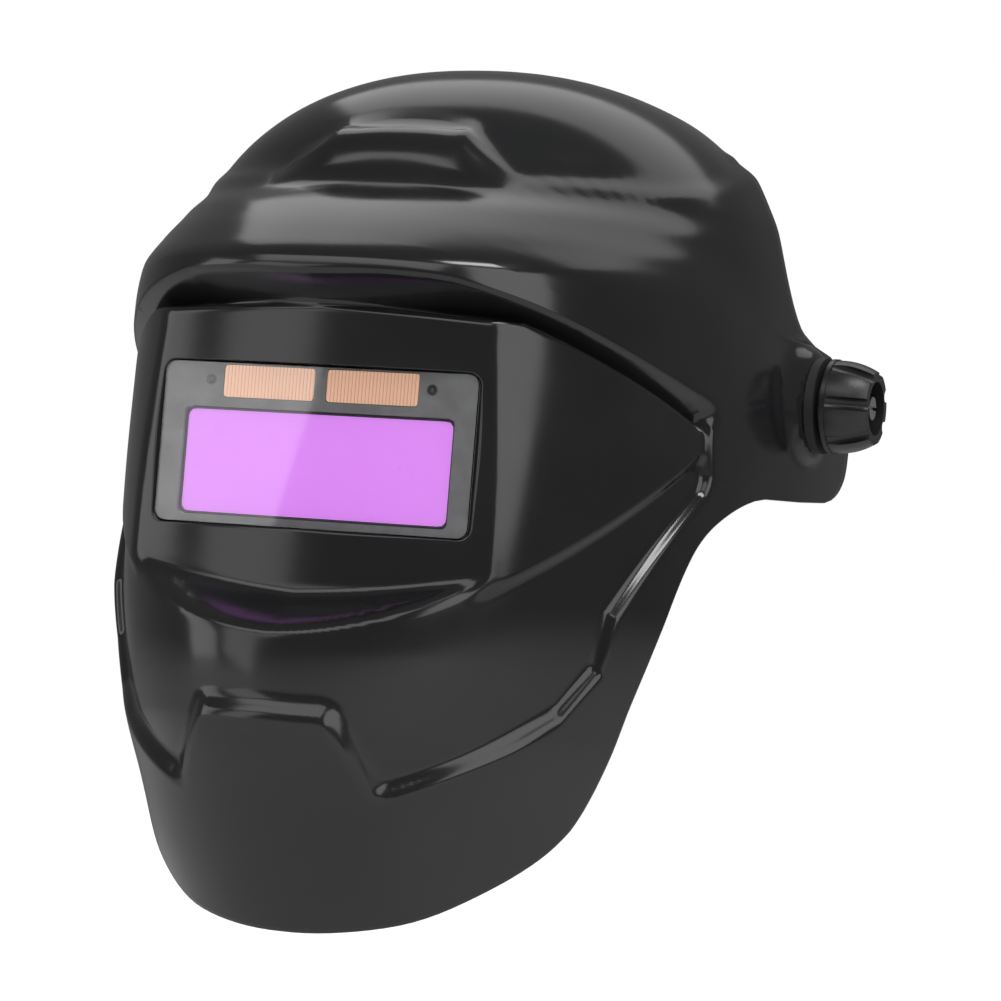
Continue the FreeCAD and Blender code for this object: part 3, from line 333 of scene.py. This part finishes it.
def reach_of_outline(turns, outline):
    """Degrees from straight ahead to a closed outline, in each direction."""
    best = np.zeros(len(turns))
    ux = np.cos(turns)
    uy = np.sin(turns)
    for (x0, y0), (x1, y1) in zip(outline, outline[1:]):
        ex = x1 - x0
        ey = y1 - y0
        cross = ux * ey - uy * ex
        cross = np.where(np.abs(cross) < ALMOST_ZERO, ALMOST_ZERO, cross)
        reach = (x0 * ey - y0 * ex) / cross
        share = (x0 * uy - y0 * ux) / cross
        hit = (share >= -TINY) & (share <= 1 + TINY) & (reach > best)
        best = np.where(hit, reach, best)
    return best


def rim_half_width(y, z):
    """Half width of the outer layer at a point of the side view."""
    above_visor = OUT_OF_REACH if z > CREST_HEIGHTS[-1][1] else 0
    distance = np.minimum(face_distance(WIDTHS_TRIED, y, z) + above_visor, dome_distance(WIDTHS_TRIED, y, z))
    inside = distance < 0
    return WIDTHS_TRIED[inside].max() if inside.any() else 0.0


def smooth_rim():
    """Rim in the side view, rounded into a curve through its stations."""
    points = np.array(RIM_OUTLINE, dtype=float)
    for _ in range(2):
        ends = points[0], points[-1]
        cut_a = points[:-1] * 0.75 + points[1:] * 0.25
        cut_b = points[:-1] * 0.25 + points[1:] * 0.75
        points = np.stack([cut_a, cut_b], axis=1).reshape(-1, 2)
        points = np.vstack([ends[0], points, ends[1]])
    return points


def rim_angles():
    rim = smooth_rim()
    side = [(rim_half_width(y, z), y, z) for y, z in rim[1:-1]]
    crown = outline_angles([(0, *rim[0])])[0]
    chin = outline_angles([(0, *rim[-1])])[0]
    return [(RIM_OVERLAP, crown[1]), crown] + outline_angles(side) + [chin, (RIM_OVERLAP, chin[1])]


def rounded_rectangle(count, wide, tall, corner):
    """Points round the window, starting at the bottom middle and going anticlockwise."""
    reach_x = wide / 2 - corner
    reach_z = tall / 2 - corner
    path = []
    for cx, cz, start in ((reach_x, -reach_z, -90), (reach_x, reach_z, 0),
                          (-reach_x, reach_z, 90), (-reach_x, -reach_z, 180)):
        for angle in np.radians(start + np.linspace(0, 90, CORNER_POINTS)):
            path.append((cx + corner * math.cos(angle), cz + corner * math.sin(angle)))
    path = np.array(path + path[:1])
    turns = np.unwrap(np.arctan2(path[:, 1], path[:, 0]))
    even = np.linspace(-math.pi / 2, 1.5 * math.pi, count, endpoint=False)
    x = np.interp(even, turns, path[:, 0], period=2 * math.pi)
    z = np.interp(even, turns, path[:, 1], period=2 * math.pi)
    return x, z + WINDOW_Z


def front_of_shell(x, z, level):
    """Y of the front surface at points in front of the face."""
    near = np.full(x.shape, FRONT_NEAREST)
    far = np.full(x.shape, FRONT_FARTHEST)
    for _ in range(HALVINGS):
        middle = (near + far) / 2
        inside = shell_distance(x, middle, z) < level
        near = np.where(inside, middle, near)
        far = np.where(inside, far, middle)
    return near


def eased(reach, columns):
    """Rounds the corners of a closed run of values with a bell-shaped average."""
    offsets = np.arange(-3 * columns, 3 * columns + 1)
    weights = np.exp(-0.5 * (offsets / columns) ** 2)
    total = sum(w * np.roll(reach, int(shift)) for w, shift in zip(weights, offsets))
    return total / weights.sum()


def shell_rings():
    """Closed set of point rings: window edge, front skin, rolled rim, inner skin, window back."""
    x, z = rounded_rectangle(COLUMNS, *OPENING, OPENING_CORNER)
    y = front_of_shell(x, z, 0.0)
    side, up = view_angles(x, y, z)[:2]
    start = np.hypot(side, up)
    turns = np.unwrap(np.arctan2(up, side))
    fold = np.arctan2(np.sin(turns), np.abs(np.cos(turns)))
    end = reach_of_outline(fold, rim_angles())
    mask = np.minimum(reach_of_outline(fold, MASK_LOOP), end - RIM_MARGIN)
    inner_edge = np.maximum(eased(mask, EASE_COLUMNS) - WALL_IN, start + 1)
    outer_edge = eased(np.minimum(inner_edge + WALL_IN + WALL_OUT, end - 1), EASE_COLUMNS)
    outer_edge = np.minimum(outer_edge, end - 0.5)
    steps = []
    for i in range(1, MASK_ROWS + 1):
        steps.append(start + (inner_edge - start) * i / MASK_ROWS)
    for i in range(1, WALL_ROWS + 1):
        steps.append(inner_edge + (outer_edge - inner_edge) * i / WALL_ROWS)
    for i in range(1, LAYER_ROWS + 1):
        steps.append(outer_edge + (end - outer_edge) * i / LAYER_ROWS)
    outer = wall_points(rays_at(np.array(steps), turns), 0.0)
    inner_steps = [start + INNER_START + (end - start - INNER_START) * i / INNER_ROWS
                   for i in range(INNER_ROWS + 1)]
    inner = wall_points(rays_at(np.array(inner_steps), turns), -WALL)[::-1]
    rim = rolled_rim(outer[-1], outer[-2], inner[0])
    edge = np.stack([x, y, z], axis=-1)[None]
    grow, round_more = BACK_GROWTH
    back_x, back_z = rounded_rectangle(COLUMNS, OPENING[0] + grow, OPENING[1] + grow,
                                       OPENING_CORNER + round_more)
    inside = np.stack([x, np.full_like(x, RECESS_FLOOR_Y), z], axis=-1)[None]
    behind = np.stack([back_x, np.full_like(x, RECESS_FLOOR_Y), back_z], axis=-1)[None]
    lip = edge.copy()
    lip[..., 1] += LIP_DEPTH
    return np.concatenate([lip, edge, outer, rim, inner, behind, inside])


def rolled_rim(outer, before, inner):
    """Half-round rings that join the outer and inner skins at the rim."""
    across = inner - outer
    ahead = outer - before
    ahead -= across * (np.sum(ahead * across, axis=-1) / np.sum(across * across, axis=-1))[:, None]
    ahead /= np.linalg.norm(ahead, axis=-1)[:, None]
    radius = np.linalg.norm(across, axis=-1)[:, None] / 2
    rings = []
    for i in range(1, RIM_ROWS):
        angle = math.pi * i / RIM_ROWS
        centre = (outer + inner) / 2
        rings.append(centre - across / 2 * math.cos(angle) + ahead * radius * math.sin(angle))
    return np.array(rings)


def mesh_from_rings(name, rings):
    """Closed tube of quads through rings of points, joined end to end."""
    rows, columns = rings.shape[:2]
    index = np.arange(rows * columns).reshape(rows, columns)
    right = np.roll(index, -1, axis=1)
    up = np.roll(index, -1, axis=0)
    diagonal = np.roll(right, -1, axis=0)
    faces = np.stack([index, right, diagonal, up], axis=-1).reshape(-1, 4)
    mesh = bpy.data.meshes.new(name)
    mesh.from_pydata((rings.reshape(-1, 3) * MM).tolist(), [], faces.tolist())
    mesh.validate()
    mesh.shade_smooth()
    obj = bpy.data.objects.new(name, mesh)
    bpy.context.collection.objects.link(obj)
    return obj


def turned_ring(name, outline):
    """Ring turned about the X axis from a closed outline of (x, radius) points."""
    turns = np.linspace(0, 2 * math.pi, TURNED_COLUMNS, endpoint=False)
    rings = [np.stack([np.full_like(turns, x), r * np.cos(turns), r * np.sin(turns)], axis=-1)
             for x, r in outline]
    return mesh_from_rings(name, np.array(rings))


def side_name(side):
    return "left" if side > 0 else "right"


def inner_boss(side):
    """Ring moulded inside the shell round the pivot's bore, with eased edges."""
    ease = INNER_BOSS_EASE
    face = PIVOT_BOSS_INNER
    root = PIVOT_BOSS_FACE - BOSS_EDGE
    outline = [(root, PIVOT_BORE_RADIUS), (face + ease, PIVOT_BORE_RADIUS),
               (face, PIVOT_BORE_RADIUS + ease), (face, PIVOT_BOSS_RADIUS - ease),
               (face + ease, PIVOT_BOSS_RADIUS), (root, PIVOT_BOSS_RADIUS)]
    return turned_ring("inner_boss_" + side_name(side), [(side * x, r) for x, r in outline])


def tail_tongue(side):
    """Strap end that carries one tail of the headband into the side of the ratchet housing."""
    steps = np.linspace(0, 1, TONGUE_STEPS)
    x, y, z = (np.interp(steps, TONGUE_STATIONS, values) for values in TONGUE_PATH)
    ahead = np.stack([np.gradient(x), np.gradient(y)], axis=-1)
    ahead /= np.linalg.norm(ahead, axis=-1)[:, None]
    thick, tall, ease = TONGUE_SECTION
    section = [(thick, tall - ease), (thick - ease, tall), (ease - thick, tall), (-thick, tall - ease),
               (-thick, ease - tall), (ease - thick, -tall), (thick - ease, -tall), (thick, ease - tall)]
    points = [(side * (x[i] - ahead[i, 1] * out) * MM, (y[i] + ahead[i, 0] * out) * MM, (z[i] + up) * MM)
              for i in range(TONGUE_STEPS) for out, up in section]
    count = len(section)
    faces = [(i * count + j, i * count + (j + 1) % count,
              (i + 1) * count + (j + 1) % count, (i + 1) * count + j)
             for i in range(TONGUE_STEPS - 1) for j in range(count)]
    faces.append(tuple(range(count))[::-1])
    faces.append(tuple(range((TONGUE_STEPS - 1) * count, TONGUE_STEPS * count)))
    if side > 0:
        faces = [face[::-1] for face in faces]
    name = "tail_tongue_" + side_name(side)
    mesh = bpy.data.meshes.new(name)
    mesh.from_pydata(points, [], faces)
    tongue = bpy.data.objects.new(name, mesh)
    bpy.context.collection.objects.link(tongue)
    return tongue


def window_border():
    """Thin black printed edge round the filter's window."""
    rings = []
    back = BORDER_Y + BORDER_THICK
    for grow, y in ((0, BORDER_Y), (0, back), (-BORDER_WIDE, back), (-BORDER_WIDE, BORDER_Y)):
        x, z = rounded_rectangle(BORDER_COLUMNS, PANE[0] + 2 * grow, PANE[1] + 2 * grow, BORDER_CORNER)
        rings.append(np.stack([x, np.full_like(x, y), z - WINDOW_Z + PANE_Z], axis=-1))
    return mesh_from_rings("window_border", np.array(rings))


# ---------------------------------------------------------------- materials
SOLAR_LINE_PERIOD = 0.0012      # metres
# painted glow: only faces whose normal lies below this Y give off light
FACES_OUT = -0.5                # largest Y of a normal that looks out of the window


def new_material(name, colour, roughness, metallic=0.0):
    material = bpy.data.materials.new(name)
    material.use_nodes = True
    shader = material.node_tree.nodes["Principled BSDF"]
    shader.inputs["Base Color"].default_value = (*colour, 1)
    shader.inputs["Roughness"].default_value = roughness
    shader.inputs["Metallic"].default_value = metallic
    return material, shader


def object_coordinates(material, scale=(1, 1, 1)):
    tree = material.node_tree
    place = tree.nodes.new("ShaderNodeTexCoord")
    mapping = tree.nodes.new("ShaderNodeMapping")
    mapping.inputs["Scale"].default_value = scale
    tree.links.new(place.outputs["Object"], mapping.inputs["Vector"])
    return mapping.outputs["Vector"]


def noise(material, scale, detail=3.0, stretch=(1, 1, 1)):
    node = material.node_tree.nodes.new("ShaderNodeTexNoise")
    node.inputs["Scale"].default_value = scale
    node.inputs["Detail"].default_value = detail
    material.node_tree.links.new(object_coordinates(material, stretch), node.inputs["Vector"])
    return node.outputs["Fac"]


def ramp(material, factor, low, high, start=0.3, end=0.7):
    """Colour ramp between two colours."""
    node = material.node_tree.nodes.new("ShaderNodeValToRGB")
    node.color_ramp.elements[0].position = start
    node.color_ramp.elements[0].color = (*low, 1)
    node.color_ramp.elements[1].position = end
    node.color_ramp.elements[1].color = (*high, 1)
    material.node_tree.links.new(factor, node.inputs["Fac"])
    return node.outputs["Color"]


def vary_roughness(material, shader, factor, low, high):
    node = material.node_tree.nodes.new("ShaderNodeMapRange")
    node.inputs["To Min"].default_value = low
    node.inputs["To Max"].default_value = high
    material.node_tree.links.new(factor, node.inputs["Value"])
    material.node_tree.links.new(node.outputs["Result"], shader.inputs["Roughness"])


def vary_colour(material, shader, colour):
    material.node_tree.links.new(colour, shader.inputs["Base Color"])


def add_bump(material, shader, height, strength, distance):
    node = material.node_tree.nodes.new("ShaderNodeBump")
    node.inputs["Strength"].default_value = strength
    node.inputs["Distance"].default_value = distance
    material.node_tree.links.new(height, node.inputs["Height"])
    material.node_tree.links.new(node.outputs["Normal"], shader.inputs["Normal"])


def shades(colour, spread):
    """A darker and a lighter version of a colour."""
    low = tuple(c * (1 - spread) for c in colour)
    high = tuple(min(c * (1 + spread), 1) for c in colour)
    return low, high


def gloss_shell():
    """Polished black nylon with a faint moulding ripple and handling haze."""
    material, shader = new_material("gloss_black_nylon", (0.010, 0.0105, 0.0115), 0.12)
    tone = ramp(material, noise(material, 25), (0.009, 0.009, 0.010), (0.013, 0.0135, 0.0145))
    vary_colour(material, shader, tone)
    vary_roughness(material, shader, noise(material, 60, 6), 0.12, 0.20)
    add_bump(material, shader, noise(material, 45, 2), 0.05, 0.0004)
    shader.inputs["IOR"].default_value = 1.52
    return material


def moulded_plastic(name, colour, roughness, grain=900.0, depth=0.25):
    """Satin moulded plastic with a fine spark-eroded grain."""
    material, shader = new_material(name, colour, roughness)
    vary_colour(material, shader, ramp(material, noise(material, 120), *shades(colour, 0.18)))
    vary_roughness(material, shader, noise(material, 300), roughness - 0.06, roughness + 0.08)
    add_bump(material, shader, noise(material, grain, 2), depth, 0.0001)
    return material


def plated_steel():
    """Bright zinc plate with turning marks."""
    material, shader = new_material("bright_zinc", (0.62, 0.62, 0.63), 0.28, 1.0)
    tone = ramp(material, noise(material, 400), (0.52, 0.52, 0.54), (0.7, 0.7, 0.7))
    vary_colour(material, shader, tone)
    vary_roughness(material, shader, noise(material, 900, 2, (6, 1, 1)), 0.2, 0.4)
    add_bump(material, shader, noise(material, 1200, 2, (6, 1, 1)), 0.15, 0.0001)
    return material


def stripes(material, period):
    """Repeating fine lines across the X axis, period in metres."""
    node = material.node_tree.nodes.new("ShaderNodeTexWave")
    node.bands_direction = "X"
    node.inputs["Scale"].default_value = math.pi / 10 / period
    node.inputs["Distortion"].default_value = 0.0
    material.node_tree.links.new(object_coordinates(material), node.inputs["Vector"])
    return node.outputs["Fac"]


def painted_glow_forwards(material, shader, strength):
    """Painted glow: lets only the faces that look out of the window give off light of their own, standing in
    for light that falls on them.
    """
    tree = material.node_tree
    place = tree.nodes.new("ShaderNodeTexCoord")
    split = tree.nodes.new("ShaderNodeSeparateXYZ")
    facing = tree.nodes.new("ShaderNodeMath")
    facing.operation = "LESS_THAN"
    facing.inputs[1].default_value = FACES_OUT
    amount = tree.nodes.new("ShaderNodeMath")
    amount.operation = "MULTIPLY"
    amount.inputs[1].default_value = strength
    tree.links.new(place.outputs["Normal"], split.inputs["Vector"])
    tree.links.new(split.outputs["Y"], facing.inputs[0])
    tree.links.new(facing.outputs["Value"], amount.inputs[0])
    tree.links.new(amount.outputs["Value"], shader.inputs["Emission Strength"])


def solar_film():
    """Copper-brown photovoltaic film, with fine collector lines and a painted copper glow on the faces that
    look out, standing in for light on it.
    """
    material, shader = new_material("copper_solar_film", (0.70, 0.42, 0.29), 0.3, 0.5)
    lines = stripes(material, SOLAR_LINE_PERIOD)
    vary_colour(material, shader, ramp(material, lines, (0.42, 0.22, 0.13), (0.80, 0.50, 0.35), 0.05, 0.3))
    add_bump(material, shader, lines, 0.1, 0.0001)
    # painted glow: the copper colour of the light the film gives off, standing in for light falling on it
    shader.inputs["Emission Color"].default_value = (0.80, 0.46, 0.31, 1)
    painted_glow_forwards(material, shader, 0.42)
    return material


def coated_window():
    """Purple interference coat on glass with a slow change of tone, and a painted glow in that tone that
    makes it look evenly lit.
    """
    material, shader = new_material("purple_coated_glass", (0.76, 0.27, 0.94), 0.3)
    tone = ramp(material, noise(material, 12, 1), (0.75, 0.25, 0.94), (0.78, 0.29, 0.95))
    vary_colour(material, shader, tone)
    vary_roughness(material, shader, noise(material, 80), 0.24, 0.34)
    # painted glow: the window gives off light in its own purple tone, standing in for light on it
    material.node_tree.links.new(tone, shader.inputs["Emission Color"])
    painted_glow_forwards(material, shader, 0.55)
    return material


def clear_plate():
    """Clear polycarbonate with faint wiping marks."""
    material, shader = new_material("clear_polycarbonate", (1, 1, 1), 0.03)
    shader.inputs["Transmission Weight"].default_value = 1.0
    shader.inputs["IOR"].default_value = 1.5
    vary_roughness(material, shader, noise(material, 220, 4, (1, 1, 5)), 0.0, 0.05)
    add_bump(material, shader, noise(material, 30, 1), 0.02, 0.0001)
    return material


def sensor_lens():
    """Smoked sensor lens: a small button inside a dark ring and a pale rim."""
    material, shader = new_material("sensor_lens", (0.02, 0.018, 0.02), 0.2)
    tree = material.node_tree
    place = tree.nodes.new("ShaderNodeTexCoord")
    middle = tree.nodes.new("ShaderNodeVectorMath")
    middle.operation = "SUBTRACT"
    middle.inputs[1].default_value = (0.5, 0.5, 0.5)
    flat = tree.nodes.new("ShaderNodeVectorMath")
    flat.operation = "MULTIPLY"
    flat.inputs[1].default_value = (2, 0, 2)
    away = tree.nodes.new("ShaderNodeVectorMath")
    away.operation = "LENGTH"
    tree.links.new(place.outputs["Generated"], middle.inputs[0])
    tree.links.new(middle.outputs["Vector"], flat.inputs[0])
    tree.links.new(flat.outputs["Vector"], away.inputs[0])
    rings = tree.nodes.new("ShaderNodeValToRGB")
    colours = rings.color_ramp
    colours.elements[0].position = 0.0
    colours.elements[0].color = (0.10, 0.09, 0.10, 1)
    colours.elements[1].position = 1.0
    colours.elements[1].color = (0.16, 0.16, 0.165, 1)
    for position, tone in ((0.36, 0.08), (0.44, 0.008), (0.80, 0.010), (0.88, 0.15)):
        colours.elements.new(position).color = (tone, tone, tone, 1)
    tree.links.new(away.outputs["Value"], rings.inputs["Fac"])
    vary_colour(material, shader, rings.outputs["Color"])
    vary_roughness(material, shader, noise(material, 500), 0.14, 0.26)
    return material


def towelling():
    """Black cotton towelling over foam: short loops and a soft sheen."""
    material, shader = new_material("black_towelling", (0.022, 0.022, 0.025), 0.95)
    tone = ramp(material, noise(material, 700, 4), (0.010, 0.010, 0.012), (0.045, 0.045, 0.050))
    vary_colour(material, shader, tone)
    add_bump(material, shader, noise(material, 1500, 3), 0.7, 0.0006)
    shader.inputs["Sheen Weight"].default_value = 0.4
    shader.inputs["Sheen Roughness"].default_value = 0.5
    return material


def make_materials():
    """The material of every slot in the record."""
    return {
        "shell_gloss": gloss_shell(),
        "clear_cover": clear_plate(),
        "filter_grey": moulded_plastic("satin_grey_frame", (0.30, 0.30, 0.305), 0.38, 1400, 0.15),
        "filter_black": moulded_plastic("satin_black_cover", (0.022, 0.022, 0.024), 0.45),
        "window_purple": coated_window(),
        "board_green": moulded_plastic("solder_mask", (0.02, 0.13, 0.05), 0.35, 600, 0.1),
        "bright_steel": plated_steel(),
        "solar_copper": solar_film(),
        "sensor_black": sensor_lens(),
        "black_nylon": moulded_plastic("satin_black_nylon", (0.018, 0.018, 0.020), 0.42),
        "knob_black": moulded_plastic("knob_nylon", (0.013, 0.013, 0.014), 0.33, 1100, 0.2),
        "strap_black": moulded_plastic("strap_polyethylene", (0.020, 0.020, 0.022), 0.5, 700, 0.3),
        "sweatband_cloth": towelling(),
        "rubber_black": moulded_plastic("soft_rubber", (0.016, 0.016, 0.016), 0.7, 500, 0.3),
    }


def dress_cad_nodes(materials):
    """Gives each CAD node the material of its slot."""
    for part in frame["record"]["subparts"]:
        obj = frame["nodes"][part["node"]]
        for slot in obj.material_slots:
            slot.link = "OBJECT"
            slot.material = materials[part["material_slot"]]


# ---------------------------------------------------------------- pads
AIR_PRESSURE = 4.0
AIR_FRAMES = 20
# name, node it replaces, pull inwards, voxel size and largest swelling, all in metres
PADS = (
    ("sweatband_pad", "front_sweatband", 0.0008, 0.002, 0.0012),
    ("rear_head_pad", "rear_pad", 0.0015, 0.0035, 0.003),
)


def puffed(name, node, shrink, voxel, cap, material):
    """A soft copy of a CAD pad, inflated by a short cloth simulation."""
    source = frame["nodes"][node]
    mesh = source.data.copy()
    mesh.name = name
    pad = bpy.data.objects.new(name, mesh)
    bpy.context.collection.objects.link(pad)
    bpy.context.view_layer.objects.active = pad
    remesh = pad.modifiers.new("even", "REMESH")
    remesh.mode = "VOXEL"
    remesh.voxel_size = voxel
    bpy.ops.object.modifier_apply(modifier=remesh.name)
    pull_in(pad, shrink)
    rest = np.array([v.co[:] for v in pad.data.vertices])
    inflate(pad)
    moved = np.array([v.co[:] for v in pad.data.vertices]) - rest
    length = np.linalg.norm(moved, axis=1)
    keep = np.minimum(1, cap / np.maximum(length, ALMOST_ZERO))[:, None]
    pad.data.vertices.foreach_set("co", (rest + moved * keep).ravel())
    pad.data.shade_smooth()
    smooth = pad.modifiers.new("smooth", "SUBSURF")
    smooth.levels = 1
    smooth.render_levels = 1
    pad.data.materials.clear()
    pad.data.materials.append(material)
    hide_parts(node)
    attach(pad, "headgear")


def pull_in(pad, amount):
    """Moves every vertex inwards along its normal."""
    normals = np.array([v.normal[:] for v in pad.data.vertices])
    points = np.array([v.co[:] for v in pad.data.vertices])
    pad.data.vertices.foreach_set("co", (points - normals * amount).ravel())


def inflate(pad):
    """Runs a short cloth simulation with inside pressure, and applies it."""
    cloth = pad.modifiers.new("air", "CLOTH")
    cloth.settings.use_pressure = True
    cloth.settings.uniform_pressure_force = AIR_PRESSURE
    cloth.settings.effector_weights.gravity = 0
    scene = bpy.context.scene
    for step in range(1, AIR_FRAMES + 1):
        scene.frame_set(step)
    bpy.context.view_layer.objects.active = pad
    bpy.ops.object.modifier_apply(modifier=cloth.name)
    scene.frame_set(1)


# ---------------------------------------------------------------- studio
OBJECT_MIDDLE = (0, -0.06, -0.02)
SKY_LIGHT = 0.16
FLOOR_SIZE = 12
FLOOR_HEIGHT = -0.42
GLARE_TILT = math.radians(13.9)
# name, place, size, power and, where it isn't the object's middle, target; metres and watts
SOFT_BOXES = (
    ("key", (1.45, -0.85, 0.65), (1.1, 1.5), 11),
    ("left", (-1.5, -1.0, 0.2), (0.6, 1.2), 4),
    ("top", (0.0, 0.9, 1.5), (2.4, 1.0), 8),
    ("front", (-0.2, -1.5, 1.25), (2.2, 0.7), 9),
    ("cheek_edge", (0.63, -0.57, 1.36), (0.55, 0.35), 7, (0.09, -0.10, -0.06)),
)


def aim_camera():
    """Puts the camera where the object is seen three-quarters from its left."""
    right = np.array([math.cos(CAMERA_TURN), math.sin(CAMERA_TURN), 0])
    out = np.array([math.sin(CAMERA_TURN) * math.cos(CAMERA_LIFT),
                    -math.cos(CAMERA_TURN) * math.cos(CAMERA_LIFT), math.sin(CAMERA_LIFT)])
    up = np.cross(out, right)
    rolled_right = right * math.cos(CAMERA_ROLL) + up * math.sin(CAMERA_ROLL)
    rolled_up = -right * math.sin(CAMERA_ROLL) + up * math.cos(CAMERA_ROLL)
    place = out * CAMERA_DISTANCE - rolled_right * CAMERA_SHIFT[0] - rolled_up * CAMERA_SHIFT[1]
    data = bpy.data.cameras.new("camera")
    data.lens = CAMERA_LENS
    data.sensor_width = SENSOR_WIDTH
    camera = bpy.data.objects.new("camera", data)
    bpy.context.collection.objects.link(camera)
    turn = np.eye(4)
    turn[:3, 0] = rolled_right
    turn[:3, 1] = rolled_up
    turn[:3, 2] = out
    turn[:3, 3] = place
    camera.matrix_world = Matrix(turn.tolist())
    bpy.context.scene.camera = camera


def soft_box(name, place, size, power, target=OBJECT_MIDDLE):
    """Rectangular area light that points at the object."""
    data = bpy.data.lights.new(name, "AREA")
    data.shape = "RECTANGLE"
    data.size, data.size_y = size
    data.energy = power
    light = bpy.data.objects.new(name, data)
    bpy.context.collection.objects.link(light)
    light.location = place
    aim = Vector(place) - Vector(target)
    light.rotation_euler = aim.to_track_quat("Z", "Y").to_euler()
    return light


def light_world():
    """Surroundings that look white to the camera and light the object more dimly."""
    world = bpy.data.worlds.new("studio")
    world.use_nodes = True
    tree = world.node_tree
    sky = tree.nodes["Background"]
    sky.inputs["Color"].default_value = (1, 1, 1, 1)
    sky.inputs["Strength"].default_value = SKY_LIGHT
    seen = tree.nodes.new("ShaderNodeBackground")
    seen.inputs["Strength"].default_value = 1.0
    seen.inputs["Color"].default_value = (1, 1, 1, 1)
    path = tree.nodes.new("ShaderNodeLightPath")
    mix = tree.nodes.new("ShaderNodeMixShader")
    tree.links.new(path.outputs["Is Camera Ray"], mix.inputs["Fac"])
    tree.links.new(sky.outputs["Background"], mix.inputs[1])
    tree.links.new(seen.outputs["Background"], mix.inputs[2])
    tree.links.new(mix.outputs["Shader"], tree.nodes["World Output"].inputs["Surface"])
    bpy.context.scene.world = world


def light_boxes():
    """Soft boxes round the object, and the card whose reflection crosses the window at a slant."""
    for box in SOFT_BOXES:
        soft_box(*box)
    glare = soft_box("glare_card", (-0.740, -1.2, 0.091), (0.5, 0.9), 1.9)
    glare.rotation_euler = (math.radians(90), GLARE_TILT, 0)


def lay_floor():
    """Pale floor that also shines towards the camera, so that it looks white."""
    bpy.ops.mesh.primitive_plane_add(size=FLOOR_SIZE, location=(0, 0, FLOOR_HEIGHT))
    floor = bpy.context.object
    floor.name = "floor"
    material, shader = new_material("pale_floor", (0.92, 0.92, 0.92), 0.9)
    shader.inputs["Emission Color"].default_value = (1, 1, 1, 1)
    seen = material.node_tree.nodes.new("ShaderNodeLightPath")
    material.node_tree.links.new(seen.outputs["Is Camera Ray"], shader.inputs["Emission Strength"])
    floor.data.materials.append(material)


def main():
    bpy.context.scene.view_settings.view_transform = "Standard"
    aim_camera()
    light_world()
    light_boxes()
    lay_floor()
    materials = make_materials()
    dress_cad_nodes(materials)
    shell = mesh_from_rings("shell_skin", shell_rings())
    shell.data.materials.append(materials["shell_gloss"])
    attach(shell, "shell")
    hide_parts("helmet_shell")
    for ring in (inner_boss(1), inner_boss(-1)):
        ring.data.materials.append(materials["shell_gloss"])
        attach(ring, "shell")
    for tongue in (tail_tongue(1), tail_tongue(-1)):
        tongue.data.materials.append(materials["strap_black"])
        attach(tongue, "headgear")
    border = window_border()
    border.data.materials.append(materials["filter_black"])
    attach(border, "shell")
    for pad in PADS:
        puffed(*pad, materials["sweatband_cloth"])


main()
